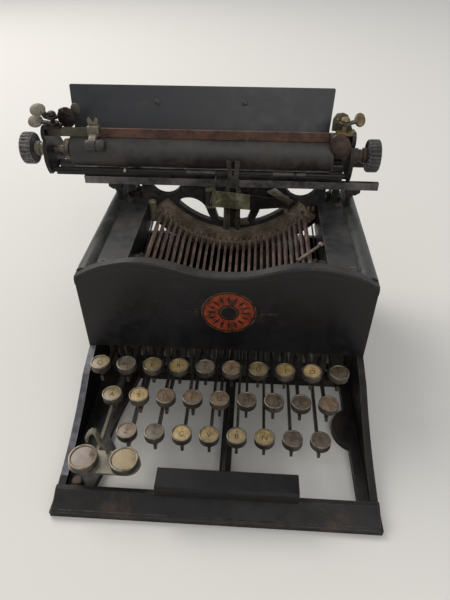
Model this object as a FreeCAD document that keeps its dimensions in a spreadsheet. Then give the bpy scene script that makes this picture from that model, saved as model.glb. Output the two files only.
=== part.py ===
import FreeCAD, Part
import math
import os
import Sketcher

# A front-strike type-bar typewriter: three rows of round keys, double shift, inking roller.
# Frame: X to the typist's right, Y to the rear, Z up. The origin is the middle of the base's
# footprint, on the table. Lengths are millimetres and angles are degrees.

DIMENSIONS = {
    # cast base
    "base_width": 217, "base_depth": 266, "flange_height": 5, "side_lip": 1.5, "rear_lip": 5,
    "base_wall": 5, "web_height": 6, "sill_height": 44, "rail_height": 12, "rail_flat": 3,
    "rail_depth": 16, "cheek_front": 8.7, "cheek_setback": 7, "cheek_mid_y": -76, "cheek_mid": 20.5,
    "cheek_knee_y": -40, "cheek_knee": 37, "window_left": 85, "window_right": 95,
    "cross_front_y": -9, "cross_rear_y": 2, "rib_x": 5, "rib_width": 8, "lug_reach": 11,
    "lug_length": 34, "lug_y": -54,
    # casing with the waved front panel
    "panel_setback": 117, "panel_thickness": 5, "panel_gap": 1, "casing_wall": 4,
    "wall_top": 111, "wave_edge": 110.5, "wave_turn": 120.5, "wave_turn_x": 32,
    "wave_dip": 115, "lip_height": 6, "lip_depth": 9, "lip_round": 2.2, "apron_top": 64,
    "rim_width": 11, "rim_height": 3.2, "rim_edge": 0.6,
    # deck plates beside the type basket
    "deck_inner": 74, "deck_thickness": 3, "skirt_bottom": 88, "deck_screw_inset": 5,
    # type basket
    "strike_z": 156, "basket_radius": 82, "basket_angle": 50, "basket_y": 94, "bar_count": 27,
    "bar_width": 2, "bar_depth": 3, "hub_radius": 2.2, "wire_radius": 0.9, "pin_play": 0.05,
    "slug_width": 1.9, "slug_length": 18, "slug_rise": 6.8, "slug_depth": 6,
    "horn_length": 7, "horn_depth": 1.8,
    "segment_inner": 72, "segment_outer": 92, "segment_front": 98, "segment_rear": 104,
    "segment_angle": 53, "lug_thickness": 2.2, "lug_front": 91, "lug_radial": 5,
    "rest_front": 18, "rest_depth": 8, "rest_gap": 0.3, "rest_thickness": 5,
    # arch casting behind the segment
    "arch_depth": 6, "arch_ring": 68, "arch_outer": 96, "arch_top": 124.5, "arch_side": 80,
    "post_width": 10, "post_step": 3, "scoop_span": 24, "scoop_depth": 9,
    "shelf_bottom": 98, "shelf_rear": 122, "guide_pin_x": 88, "guide_pin_y": 113,
    "guide_pin_radius": 4,
    # key levers
    "fulcrum_y": 112, "fulcrum_z": 20, "fulcrum_radius": 2, "lever_width": 2,
    "lever_depth": 5, "lever_drop": 17, "lever_tail": 6, "key_pitch": 19.05,
    "row_front_setback": 47, "row_step_middle": 21, "row_step_top": 18.5,
    "key_height": 33, "key_rise_middle": 13.2, "key_rise_top": 11.9,
    "row_shift_bottom": 3, "row_shift_middle": -0.7, "row_shift_top": -2.6,
    "cup_radius": 6.9, "cup_depth": 5, "cup_wall": 0.9, "cup_floor": 1.4, "legend_drop": 0.7,
    "legend_play": 0.1, "stem_radius": 1.5, "coil_wire": 0.9,
    "coil_turns": 3, "hook_y": 30, "hook_radius": 0.7, "hook_gap": 2,
    "comb_depth": 4, "comb_slot_play": 0.35, "comb_top": 44, "comb_reach": 95,
    # space bar and universal bar
    "space_width": 92.5, "space_center": 7.6, "space_depth": 15.5, "space_top": 27,
    "space_thickness": 9.5, "space_setback": 8.5, "space_arm_x": 4.5,
    "space_arm_depth": 4.5, "space_bevel": 1.2,
    "universal_y": 69, "universal_reach": 93, "universal_depth": 6, "universal_drop": 10.5,
    "universal_thickness": 3,
    # shift keys and lever
    "shift_key_radius": 9.5, "shift_key_span": 27.5, "shift_key_height": 30,
    "shift_plate_x": -75.2, "shift_plate_setback": 26.5, "shift_plate_width": 17,
    "shift_plate_length": 49, "shift_plate_thickness": 2, "shift_lever_x": -82.7,
    "shift_shaft_y": 8, "shift_shaft_z": 7, "shift_shaft_radius": 2.5, "shift_arm_depth": 5,
    "lift_rod_x": 99, "lift_rod_y": 98, "lift_rod_radius": 2.4,
    "lift_gap": 0.3,
    # shift frame with the carriage rails
    "rail_half": 126, "rail_center": -3, "rail_bottom": 126, "rail_bar": 6.5,
    "rail_thick": 4, "rail_front": 101, "rail_span": 47, "side_arm_width": 6,
    "side_arm_depth": 6, "guide_pin_length": 42, "cross_setback": 14, "cross_width": 4,
    # carriage
    "platen_y": 117, "platen_z": 150, "platen_radius": 14.5, "platen_length": 222,
    "carriage_x": -30.5, "platen_shift": 2.5, "platen_shaft": 3, "plate_span": 255, "plate_thickness": 3,
    "knob_radius": 13.5, "knob_length": 10, "knob_left_gap": 13.5, "knob_right_gap": 13.5,
    "knob_flutes": 24, "flute_radius": 0.9, "ratchet_radius": 9,
    "front_rod_y": 106, "front_rod_z": 136, "rear_rod_y": 141, "frame_rod_radius": 2.4,
    "sleeve_radius": 2.9, "shoe_gap": 0.1, "feed_radius": 4, "feed_angle": 25,
    "feed_gap": 0.3, "scale_y": 110, "scale_thickness": 1.6, "scale_bottom": 163.6,
    "scale_height": 7.4, "table_foot_y": 137, "table_foot_z": 158, "table_height": 39,
    "table_tilt": 22, "table_thickness": 1.6, "table_length": 229, "table_corner": 1.6,
    "bracket_width": 8, "rivet_left": -68, "rivet_right": 8, "rivet_radius": 2,
    "finger_x": -117, "finger_width": 9, "finger_roller": 3, "rack_height": 3,
    "thumb_length": 12, "thumb_thickness": 2.2, "thumb_width": 5, "thumb_lobe": 6,
    "thumb_step": 5, "lever_pin": 1.8, "stand_y": 109, "stand_reach": 13, "stand_inset": 7,
    "stand_height": 9, "plate_rise": 23, "plate_lift": 0.5, "plate_tail": 7,
    "shoe_left": -58, "shoe_right": -8, "shoe_length": 10, "boss_radius": 5.3,
    # escapement, mainspring and bell
    "drum_x": -52, "drum_z": 54, "drum_radius": 16, "drum_depth": 11, "drum_gap": 1,
    "wheel_radius": 11, "wheel_gap": 3, "wheel_thickness": 2, "wheel_teeth": 18,
    "tooth_depth": 1.8, "pinion_width": 3.4,
    "stud_radius": 2.5, "clapper_radius": 3.5, "clapper_gap": 0.8, "clapper_z": 27,
    "clapper_inset": 3, "bell_x": 54, "bell_z": 55, "bell_radius": 15, "bell_depth": 11,
    "bell_wall": 1.4,
    # inking
    "ink_pivot_x": 47, "ink_pivot_y": 100.7, "ink_arm_thickness": 1.7, "ink_front": 96,
    "ink_post": 20, "ink_drop": 47, "ink_height": 15, "ink_yoke_depth": 5.5,
    "ink_left": -18, "ink_radius": 2.8, "guide_front": 98.9, "guide_thickness": 1.7,
    "guide_drop": 6, "guide_play": 0.8, "guide_arm": 4, "guide_tip": 8, "guide_throat": 13,
    "guide_waist": 22, "foot_gap": 0.4,
    # fasteners
    "screw_head": 3, "screw_height": 1.6, "slot_width": 0.7,
}

doc = FreeCAD.newDocument("typewriter")
sheet = doc.addObject("Spreadsheet::Sheet", "dims")
for row, (alias, number) in enumerate(DIMENSIONS.items(), 1):
    sheet.set("A%d" % row, alias)
    sheet.set("B%d" % row, str(number))
    sheet.setAlias("B%d" % row, alias)
doc.recompute()


class Size:
    """A length together with the sheet expression that gives it."""

    def __init__(self, value, text):
        self.value = float(value)
        self.text = text

    def __float__(self):
        return self.value

    def __int__(self):
        return round(self.value)

    def __add__(self, other):
        return joined(self, "+", other, self.value + float(other))

    def __radd__(self, other):
        return joined(other, "+", self, float(other) + self.value)

    def __sub__(self, other):
        return joined(self, "-", other, self.value - float(other))

    def __rsub__(self, other):
        return joined(other, "-", self, float(other) - self.value)

    def __mul__(self, other):
        return joined(self, "*", other, self.value * float(other))

    def __rmul__(self, other):
        return joined(other, "*", self, float(other) * self.value)

    def __truediv__(self, other):
        return joined(self, "/", other, self.value / float(other))

    def __neg__(self):
        return Size(-self.value, "(-1 * %s)" % self.text)


def as_size(number):
    if isinstance(number, Size):
        return number
    return Size(number, "(%.9g)" % number)


def joined(first, sign, second, value):
    return Size(value, "(%s %s %s)" % (as_size(first).text, sign, as_size(second).text))


def root(number):
    return Size(math.sqrt(float(number)), "sqrt(%s)" % number.text)


def sine(angle):
    return Size(math.sin(math.radians(float(angle))), "sin(%s * 1 deg)" % angle.text)


def cosine(angle):
    return Size(math.cos(math.radians(float(angle))), "cos(%s * 1 deg)" % angle.text)


class Sizes:
    """Every sheet cell as a Size, read as an attribute."""

    def __getattr__(self, alias):
        return Size(sheet.get(alias), "dims." + alias)


s = Sizes()
NODES = []
ALONG_X = FreeCAD.Rotation(FreeCAD.Vector(0, 0, 1), FreeCAD.Vector(1, 0, 0))
ALONG_Y = FreeCAD.Rotation(FreeCAD.Vector(0, 0, 1), FreeCAD.Vector(0, 1, 0))
UPRIGHT = FreeCAD.Rotation()


# ---------------------------------------------------------------- building blocks

def bind(item, **sizes):
    for name, size in sizes.items():
        item.setExpression(name, as_size(size).text)


def place(item, x, y, z, turn=UPRIGHT):
    item.Placement = FreeCAD.Placement(FreeCAD.Vector(0, 0, 0), turn)
    for letter, size in (("x", x), ("y", y), ("z", z)):
        item.setExpression("Placement.Base." + letter, as_size(size).text)


def box(name, x, y, z):
    """A block between the limits that x, y and z give as (low, high)."""
    item = doc.addObject("Part::Box", name)
    bind(item, Length=x[1] - x[0], Width=y[1] - y[0], Height=z[1] - z[0])
    place(item, x[0], y[0], z[0])
    return item


def rod(name, radius, length, x, y, z, turn=UPRIGHT):
    """A cylinder of the given length that starts at x, y, z."""
    item = doc.addObject("Part::Cylinder", name)
    bind(item, Radius=radius, Height=length)
    place(item, x, y, z, turn)
    return item


def rod_between(name, radius, start, end):
    """A cylinder from one point to the other, at any slant."""
    start, end = (FreeCAD.Vector(*[float(c) for c in point]) for point in (start, end))
    item = doc.addObject("Part::Cylinder", name)
    bind(item, Radius=radius)
    item.Height = (end - start).Length
    turn = FreeCAD.Rotation(FreeCAD.Vector(0, 0, 1), end - start)
    item.Placement = FreeCAD.Placement(start, turn)
    return item


def fuse(name, items):
    item = doc.addObject("Part::MultiFuse", name)
    item.Shapes = items
    item.Refine = True
    return item


def cut(name, base, tools):
    item = doc.addObject("Part::Cut", name)
    item.Base = base
    item.Tool = tools[0] if len(tools) == 1 else fuse(name + "_tools", tools)
    return item


def group(name, items):
    item = doc.addObject("Part::Compound", name)
    item.Links = items
    return item


def computed(name, shape):
    item = doc.addObject("Part::Feature", name)
    item.Shape = shape
    item.Placement = FreeCAD.Placement()
    return item


def node(name, item):
    item.Label = name
    NODES.append(item)
    return item


def sketch_on(body, plane):
    sketch = body.newObject("Sketcher::SketchObject", body.Name + "_sketch")
    planes = [item for item in body.Origin.OriginFeatures if item.Role == plane]
    sketch.AttachmentSupport = [(planes[0], "")]
    sketch.MapMode = "FlatFace"
    return sketch


def pin_point(sketch, geometry, end, u, v):
    """Holds one point of the sketch at u, v from its origin."""
    for kind, size in (("DistanceX", as_size(u)), ("DistanceY", as_size(v))):
        constraint = Sketcher.Constraint(kind, -1, 1, geometry, end, size.value)
        index = sketch.addConstraint(constraint)
        sketch.setExpression("Constraints[%d]" % index, size.text)


def outline(sketch, points):
    """A closed outline. A point is (u, v), or (u, v, um, vm) where an arc leaves it by um, vm."""
    first = sketch.GeometryCount
    corners = [FreeCAD.Vector(float(point[0]), float(point[1]), 0) for point in points]
    ends = []
    for index, point in enumerate(points):
        here, there = corners[index], corners[(index + 1) % len(points)]
        if len(point) == 2:
            sketch.addGeometry(Part.LineSegment(here, there), False)
        else:
            middle = FreeCAD.Vector(float(point[2]), float(point[3]), 0)
            sketch.addGeometry(Part.Arc(here, middle, there), False)
        forward = (sketch.getPoint(first + index, 1) - here).Length < 1e-6
        ends.append((1, 2) if forward else (2, 1))
    for index, point in enumerate(points):
        follower = (index + 1) % len(points)
        sketch.addConstraint(Sketcher.Constraint(
            "Coincident", first + index, ends[index][1], first + follower, ends[follower][0]))
        pin_point(sketch, first + index, ends[index][0], point[0], point[1])
        if len(point) == 4:
            mark = sketch.addGeometry(
                Part.Point(FreeCAD.Vector(float(point[2]), float(point[3]), 0)), True)
            sketch.addConstraint(Sketcher.Constraint("PointOnObject", mark, 1, first + index))
            pin_point(sketch, mark, 1, point[2], point[3])


def circle(sketch, u, v, radius):
    middle = FreeCAD.Vector(float(u), float(v), 0)
    index = sketch.addGeometry(Part.Circle(middle, FreeCAD.Vector(0, 0, 1), float(radius)), False)
    pin_point(sketch, index, 3, u, v)
    constraint = sketch.addConstraint(Sketcher.Constraint("Radius", index, float(radius)))
    sketch.setExpression("Constraints[%d]" % constraint, as_size(radius).text)


def slab(name, plane, outlines, thickness, x=0, y=0, z=0, holes=()):
    """A plate padded from outlines on one plane: up from XY, forward from XZ, right from YZ."""
    body = doc.addObject("PartDesign::Body", name)
    sketch = sketch_on(body, plane)
    for points in outlines:
        outline(sketch, points)
    for hole in holes:
        circle(sketch, *hole)
    pad = body.newObject("PartDesign::Pad", name + "_pad")
    pad.Profile = sketch
    bind(pad, Length=thickness)
    place(body, x, y, z)
    return body


def turned(name, points, x, y, z, turn=UPRIGHT):
    """A solid turned about its own Z axis from points given as (radius, height)."""
    body = doc.addObject("PartDesign::Body", name)
    sketch = sketch_on(body, "XZ_Plane")
    outline(sketch, points)
    spin = body.newObject("PartDesign::Revolution", name + "_spin")
    spin.Profile = sketch
    spin.ReferenceAxis = (sketch, ["V_Axis"])
    spin.Angle = 360
    place(body, x, y, z, turn)
    return body


def mirrored(points):
    return [tuple(-part if index % 2 == 0 else part for index, part in enumerate(point))
            for point in points]


# ---------------------------------------------------------------- shared places

front_y = -s.base_depth / 2
rear_wall_y = s.base_depth / 2 - s.rear_lip
wall_x = s.base_width / 2 - s.side_lip
panel_y = front_y + s.panel_setback
panel_back_y = panel_y + s.panel_thickness
base_inner_x = wall_x - s.base_wall
casing_inner_x = wall_x - s.casing_wall
lever_rise = s.lever_drop - s.lever_depth / 2
arch_front_y = s.segment_rear
arch_rear_y = arch_front_y + s.arch_depth
shaft_y, shaft_z = s.shift_shaft_y, s.shift_shaft_z
plate_left_x = s.carriage_x - s.plate_span / 2
plate_right_x = s.carriage_x + s.plate_span / 2
platen_left_x = s.carriage_x + s.platen_shift - s.platen_length / 2
platen_right_x = s.carriage_x + s.platen_shift + s.platen_length / 2
rear_rail_y = s.rail_front + s.rail_span
rail_top = s.rail_bottom + s.rail_bar
escape_z = s.rail_bottom + s.rail_bar / 2
works_rear_y = rear_wall_y - s.base_wall - s.drum_gap
clapper_y = works_rear_y - s.clapper_inset


# ---------------------------------------------------------------- base and casing

def base_frame():
    """The cast base: flange, webs, rising cheeks, sloped front rail and cross bars."""
    window_front = front_y + s.rail_depth
    rib_left = s.rib_x - s.rib_width / 2
    rib_right = s.rib_x + s.rib_width / 2
    edge = s.window_right
    lug_front = s.lug_y - s.lug_length / 2
    lug_rear = s.lug_y + s.lug_length / 2
    half_width, half_depth = s.base_width / 2, s.base_depth / 2
    left_window = [
        (-s.window_left, window_front), (rib_left, window_front), (rib_left, s.cross_front_y),
        (-s.window_left + 13, s.cross_front_y), (-s.window_left + 5, s.cross_front_y - 41),
        (-s.window_left + 2, s.cross_front_y - 63), (-s.window_left + 9, s.cross_front_y - 73)]
    right_window = [
        (rib_right, window_front), (edge, window_front),
        (edge, lug_front, edge - s.lug_reach, s.lug_y), (edge, lug_rear),
        (edge, s.cross_front_y), (rib_right, s.cross_front_y)]
    rear_window = rectangle(-base_inner_x, base_inner_x, s.cross_rear_y,
                            rear_wall_y - s.base_wall)
    floor_pad = slab("base_web", "XY_Plane",
                     [rectangle(-wall_x, wall_x, front_y + s.side_lip, rear_wall_y),
                      left_window, right_window, rear_window], s.web_height)
    flange = slab("base_flange", "XY_Plane",
                  [rectangle(-half_width, half_width, front_y, half_depth),
                   left_window, right_window, rear_window], s.flange_height)
    cheek = [(front_y + s.cheek_setback, 0), (rear_wall_y, 0), (rear_wall_y, s.sill_height),
             (panel_y, s.sill_height), (s.cheek_knee_y, s.cheek_knee, s.cheek_mid_y, s.cheek_mid),
             (front_y + s.cheek_setback, s.cheek_front)]
    left_cheek = slab("base_cheek_left", "YZ_Plane", [cheek], s.base_wall, x=-wall_x)
    right_cheek = slab("base_cheek_right", "YZ_Plane", [cheek], s.base_wall,
                       x=wall_x - s.base_wall)
    front_rail = slab("base_rail", "YZ_Plane", [[
        (front_y, 0), (window_front, 0), (window_front, s.rail_height),
        (window_front - s.rail_flat, s.rail_height), (front_y, s.flange_height)]],
        2 * wall_x, x=-wall_x)
    rear_wall = box("base_rear", (-wall_x, wall_x), (rear_wall_y - s.base_wall, rear_wall_y),
                    (0, s.sill_height))
    casting = fuse("base_casting", [floor_pad, flange, left_cheek, right_cheek, front_rail,
                                    rear_wall])
    shaft_hole = rod("base_shaft_hole", s.shift_shaft_radius + s.pin_play, 2 * wall_x + 2,
                     -wall_x - 1, shaft_y, shaft_z, ALONG_X)
    fulcrum_hole = rod("base_fulcrum_hole", s.fulcrum_radius, 2 * wall_x - 2, -wall_x + 1,
                       s.fulcrum_y, s.fulcrum_z, ALONG_X)
    return node("base_frame", cut("base_frame", casting, [shaft_hole, fulcrum_hole]))


def rectangle(x0, x1, y0, y1):
    return [(x0, y0), (x1, y0), (x1, y1), (x0, y1)]


def wave_hump():
    """The top of the right hump, whose arc runs on smoothly from the dip's arc."""
    turn_x, turn_z = s.wave_turn_x, s.wave_turn
    sag = turn_z - s.wave_dip
    dip_radius = (turn_x * turn_x + sag * sag) / (2 * sag)
    along_x, along_z = turn_x / dip_radius, (sag - dip_radius) / dip_radius
    span_x, span_z = wall_x - turn_x, s.wave_edge - turn_z
    radius = (span_x * span_x + span_z * span_z) / (2 * (span_x * along_x + span_z * along_z))
    return turn_x + radius * along_x, turn_z + radius * along_z + radius


def wave(drop):
    """The panel's waved edge from left to right, lowered by drop."""
    hump_x, hump_z = wave_hump()
    return [(-wall_x, s.wave_edge - drop, -hump_x, hump_z - drop),
            (-s.wave_turn_x, s.wave_turn - drop, 0, s.wave_dip - drop),
            (s.wave_turn_x, s.wave_turn - drop, hump_x, hump_z - drop)]


def body_casing():
    """The cast case: waved front panel with its rolled lip, side walls and rear apron."""
    bottom = s.sill_height + s.panel_gap
    panel = slab("casing_panel", "XZ_Plane", [
        wave(0) + [(wall_x, s.wave_edge), (wall_x, bottom), (-wall_x, bottom)]],
        s.panel_thickness, y=panel_back_y)
    hump_x, hump_z = wave_hump()
    drop = s.lip_height
    lip_low = [(wall_x, s.wave_edge),
               (wall_x, s.wave_edge - drop, hump_x, hump_z - drop),
               (s.wave_turn_x, s.wave_turn - drop, 0, s.wave_dip - drop),
               (-s.wave_turn_x, s.wave_turn - drop, -hump_x, hump_z - drop),
               (-wall_x, s.wave_edge - drop)]
    lip = slab("casing_lip", "XZ_Plane", [wave(0) + lip_low], s.lip_depth,
               y=panel_y + s.lip_depth - 1)
    doc.recompute()
    rolled = doc.addObject("Part::Fillet", "casing_rolled_lip")
    rolled.Base = lip
    rolled.Edges = [(index, float(s.lip_round), float(s.lip_round))
                    for index in top_edges(lip.Shape)]
    walls = []
    for name, low in (("left", -wall_x), ("right", casing_inner_x)):
        walls.append(box("casing_wall_" + name, (low, low + s.casing_wall),
                         (panel_y, rear_wall_y), (s.sill_height, s.wall_top)))
        walls.append(wall_rim("casing_rim_" + name, name == "left"))
    apron_front = rear_wall_y - s.casing_wall
    apron = box("casing_apron", (-wall_x, wall_x), (apron_front, rear_wall_y),
                (s.sill_height, s.apron_top))
    studs = []
    for name, x, z, depth in (("drum", s.drum_x, s.drum_z, s.drum_depth),
                              ("bell", s.bell_x, s.bell_z, s.bell_depth)):
        start = works_rear_y - depth - 1
        studs.append(rod("casing_stud_" + name, s.stud_radius, apron_front + 1 - start, x, start,
                         z, ALONG_Y))
    shell = fuse("casing_shell", [panel, rolled] + walls + [apron] + studs)
    return node("body_casing", cut("body_casing", shell, lift_rod_holes("casing")))


def wall_rim(name, left):
    """The broad rounded rim along the top of one side wall, down to the deck."""
    low = s.wall_top
    edge = low + s.rim_edge
    inner = wall_x - s.rim_width
    points = [(inner, low), (wall_x, low),
              (wall_x, edge, wall_x - s.rim_width / 2, low + s.rim_height), (inner, edge)]
    if left:
        points = [(-inner, low), (-inner, edge, s.rim_width / 2 - wall_x, low + s.rim_height),
                  (-wall_x, edge), (-wall_x, low)]
    front = panel_y + s.lip_depth - 2
    return slab(name, "XZ_Plane", [points], rear_wall_y - front, y=rear_wall_y)


def lift_rod_holes(name):
    """The holes that let the lift rods through the rims and the decks."""
    return [rod("%s_lift_hole_%d" % (name, side), s.lift_rod_radius + s.lift_gap, s.wall_top,
                side * s.lift_rod_x, s.lift_rod_y, s.sill_height) for side in (-1, 1)]


def top_edges(shape):
    """The numbers of the long edges along the top of the lip, front and back."""
    middles = {}
    for index, edge in enumerate(shape.Edges):
        if edge.Length > float(s.lip_depth) + 1:
            middles[index + 1] = edge.valueAt((edge.FirstParameter + edge.LastParameter) / 2)
    return [index for index, here in middles.items()
            if not any(abs(there.x - here.x) < 0.1 and there.z > here.z + 0.1
                       for there in middles.values())]


def deck_length():
    return arch_front_y - panel_back_y - s.lip_depth + s.panel_thickness


def deck_plates():
    """Two flat decks against the side walls, whose skirts wall in the type basket."""
    floor = s.wall_top - s.deck_thickness
    profile = [(s.deck_inner, s.skirt_bottom), (s.deck_inner + s.deck_thickness, s.skirt_bottom),
               (s.deck_inner + s.deck_thickness, floor), (casing_inner_x, floor),
               (casing_inner_x, s.wall_top), (s.deck_inner, s.wall_top)]
    holes = lift_rod_holes("deck")
    decks = []
    for name, points, hole in (("left", mirrored(profile), holes[0]),
                               ("right", profile, holes[1])):
        plate = slab("deck_blank_" + name, "XZ_Plane", [points], deck_length(), y=arch_front_y)
        decks.append(cut("deck_" + name, plate, [hole]))
    return node("deck_plates", group("deck_plates", decks))


# ---------------------------------------------------------------- type basket

def arch_frame():
    """The cast arch behind the type basket, with its windows, shelves and guide bushes."""
    top, ring, side = s.arch_top, s.arch_ring, s.arch_side
    scoop, scoop_low = side - s.post_width, top - s.scoop_depth
    scoop_mid, scoop_end = scoop - s.scoop_span / 2, scoop - s.scoop_span
    outer = [(side, s.shelf_bottom), (side, top), (scoop, top),
             (scoop, top - s.post_step, scoop_mid, scoop_low), (scoop_end, top),
             (-scoop_end, top, -scoop_mid, scoop_low), (-scoop, top - s.post_step),
             (-scoop, top), (-side, top),
             (-side, s.shelf_bottom, 0, s.strike_z - s.arch_outer)]

    def ring_z(x):
        return s.strike_z - root(ring * ring - as_size(x) * as_size(x))

    near, far = ring - 50, ring - 20
    teardrop = [(near, ring_z(near), near + 14, ring_z(near + 14)), (far, ring_z(far)),
                (far - 2, ring_z(far) + 4, far - 14, ring_z(far) + 4.5),
                (near + 6, ring_z(far) - 4, near + 5, ring_z(near) + 10)]
    gusset = [(near - 12, ring_z(near - 12) + 2), (near - 5, ring_z(near - 12) + 4,
              near - 3, ring_z(near - 12) + 10), (near - 2, ring_z(near - 12) + 17),
              (near - 12, ring_z(near - 12) + 17)]
    plate = slab("arch_plate", "XZ_Plane",
                 [outer, teardrop, mirrored(teardrop), gusset, mirrored(gusset)],
                 s.arch_depth, y=arch_rear_y)
    parts = [plate]
    for name, sign in (("left", -1), ("right", 1)):
        inner, wall = sign * (s.deck_inner + s.deck_thickness), sign * casing_inner_x
        limits = (wall, inner) if sign < 0 else (inner, wall)
        parts.append(box("arch_shelf_" + name, limits, (arch_front_y, s.shelf_rear),
                         (s.shelf_bottom, s.wall_top)))
        parts.append(rod("arch_bush_" + name, s.guide_pin_radius + 3, s.wall_top + 5
                         - s.shelf_bottom, sign * s.guide_pin_x, s.guide_pin_y,
                         s.shelf_bottom))
    bores = [rod("arch_bore_%d" % sign, s.guide_pin_radius + s.pin_play, 60,
                 sign * s.guide_pin_x, s.guide_pin_y, s.shelf_bottom - 20)
             for sign in (-1, 1)]
    return node("arch_frame", cut("arch_frame", fuse("arch_casting", parts), bores))


def bar_angle(index):
    """The angle of a type bar's plane from upright, the leftmost bar first."""
    last = float(s.bar_count) - 1
    return math.radians((2 * index / last - 1) * float(s.basket_angle))


def in_basket(shape, index):
    """Turns a shape that is modelled at the middle of the basket to a bar's own plane."""
    centre = FreeCAD.Vector(0, 0, float(s.strike_z))
    shape.rotate(centre, FreeCAD.Vector(0, 1, 0), -math.degrees(bar_angle(index)))
    return shape


def block(x, y, z):
    """A Part box between (low, high) limits given as numbers."""
    low, high = zip(*((float(pair[0]), float(pair[1])) for pair in (x, y, z)))
    return Part.makeBox(*[b - a for a, b in zip(low, high)], FreeCAD.Vector(*low))


def type_bar(index):
    """One bar at rest: hub, shank forward, upright slug at its end and a horn below."""
    pivot_y, pivot_z = float(s.basket_y), float(s.strike_z) - float(s.basket_radius)
    half, depth = float(s.bar_width) / 2, float(s.bar_depth) / 2
    reach = float(s.basket_radius)
    slug_high = pivot_z + depth + float(s.slug_rise)
    slug_low = slug_high - float(s.slug_depth)
    saddle = block((-half, half), (pivot_y - reach, pivot_y - reach + float(s.bar_depth) / 2),
                   (pivot_z, slug_high))
    shank = block((-half, half), (pivot_y - reach, pivot_y), (pivot_z - depth, pivot_z + depth))
    axis = FreeCAD.Vector(1, 0, 0)
    centre = FreeCAD.Vector(-half, pivot_y, pivot_z)
    hub = Part.makeCylinder(float(s.hub_radius), 2 * half, centre, axis)
    horn = block((-half, half), (pivot_y - float(s.horn_depth), pivot_y + float(s.horn_depth) / 4),
                 (pivot_z - float(s.horn_length), pivot_z))
    slug = block((-float(s.slug_width) / 2, float(s.slug_width) / 2),
                 (pivot_y - reach - float(s.slug_length) / 2,
                  pivot_y - reach + float(s.slug_length) / 2), (slug_low, slug_high))
    slug.rotate(FreeCAD.Vector(0, pivot_y - reach, pivot_z), FreeCAD.Vector(0, 0, 1),
                math.degrees(bar_angle(index)))
    bore = Part.makeCylinder(float(s.wire_radius) + float(s.pin_play), 4 * half,
                             centre - FreeCAD.Vector(half, 0, 0), axis)
    bar = shank.fuse([hub, horn, saddle, slug]).cut(bore).removeSplitter()
    return in_basket(bar, index)


def open_wedge(y0, depth, reach, angle):
    """The space below the strike point within an angle of straight down, to each side."""
    centre = FreeCAD.Vector(0, y0, float(s.strike_z))
    corners = [centre]
    for side in (-1, 1):
        slant = math.radians(angle) * side
        corners.append(centre + FreeCAD.Vector(reach * math.sin(slant), 0,
                                               -reach * math.cos(slant)))
    corners.append(centre)
    return Part.Face(Part.makePolygon(corners)).extrude(FreeCAD.Vector(0, depth, 0))


def ring_sector(inner, outer, y0, y1, angle):
    """A flat ring about the strike point, open upward, between two depths."""
    centre = FreeCAD.Vector(0, float(y0), float(s.strike_z))
    depth = float(y1) - float(y0)
    axis = FreeCAD.Vector(0, 1, 0)
    ring = Part.makeCylinder(float(outer), depth, centre, axis)
    ring = ring.cut(Part.makeCylinder(float(inner), depth, centre, axis))
    return ring.common(open_wedge(float(y0), depth, 3 * float(outer), float(angle)))


def typebar_segment():
    """The slotted segment: a half ring with an ear on each side of every type bar."""
    ring = ring_sector(s.segment_inner, s.segment_outer, s.segment_front, s.segment_rear,
                       s.segment_angle)
    pivot_z = float(s.strike_z) - float(s.basket_radius)
    half, radial = float(s.lug_thickness) / 2, float(s.lug_radial) / 2
    ears = [in_basket(block((-half, half), (s.lug_front, s.segment_front),
                            (pivot_z - radial, pivot_z + radial)), index - 0.5)
            for index in range(int(s.bar_count) + 1)]
    spread = math.degrees(bar_angle(float(s.bar_count) - 0.4))
    centre = FreeCAD.Vector(0, float(s.basket_y), float(s.strike_z))
    wire = Part.makeTorus(float(s.basket_radius), float(s.wire_radius), centre,
                          FreeCAD.Vector(0, 1, 0))
    thick = 4 * float(s.wire_radius)
    wire = wire.common(open_wedge(float(s.basket_y) - thick / 2, thick,
                                  3 * float(s.basket_radius), spread))
    body = ring.fuse(ears).cut(wire).removeSplitter()
    post_z = s.strike_z - root(s.segment_inner * s.segment_inner
                               - s.ink_pivot_x * s.ink_pivot_x)
    post = rod("ink_post", s.lever_pin, s.ink_post, s.ink_pivot_x, s.ink_pivot_y,
               post_z - s.screw_head)
    parts = [fuse("segment_body", [computed("segment_ring", body), post]),
             computed("segment_wire", wire)]
    return node("typebar_segment", group("typebar_segment", parts))


MOVING_BARS = {"type_bar_left": 8, "type_bar_right": 18}


def type_bars():
    fixed = [index for index in range(int(s.bar_count)) if index not in MOVING_BARS.values()]
    node("type_bars", computed("type_bars", Part.makeCompound([type_bar(i) for i in fixed])))
    for name, index in MOVING_BARS.items():
        node(name, computed(name, Part.makeCompound([type_bar(index)])))


def type_bar_rest():
    """The padded rest under the type bars' front ends, hung between the deck skirts."""
    inner = s.basket_radius + s.bar_depth / 2 + s.rest_gap
    ring = ring_sector(inner, inner + s.rest_thickness, s.rest_front,
                       s.rest_front + s.rest_depth, s.segment_angle)
    slant = math.radians(float(s.segment_angle))
    reach = float(inner + s.rest_thickness)
    tabs = []
    for side in (-1, 1):
        near = reach * math.sin(slant) - 4
        x = (near, float(s.deck_inner)) if side > 0 else (-float(s.deck_inner), -near)
        z = float(s.strike_z) - reach * math.cos(slant)
        tabs.append(block(x, (s.rest_front, s.rest_front + s.rest_depth), (z - 3, z + 1)))
    return node("type_bar_rest", computed("type_bar_rest", ring.fuse(tabs).removeSplitter()))


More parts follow.
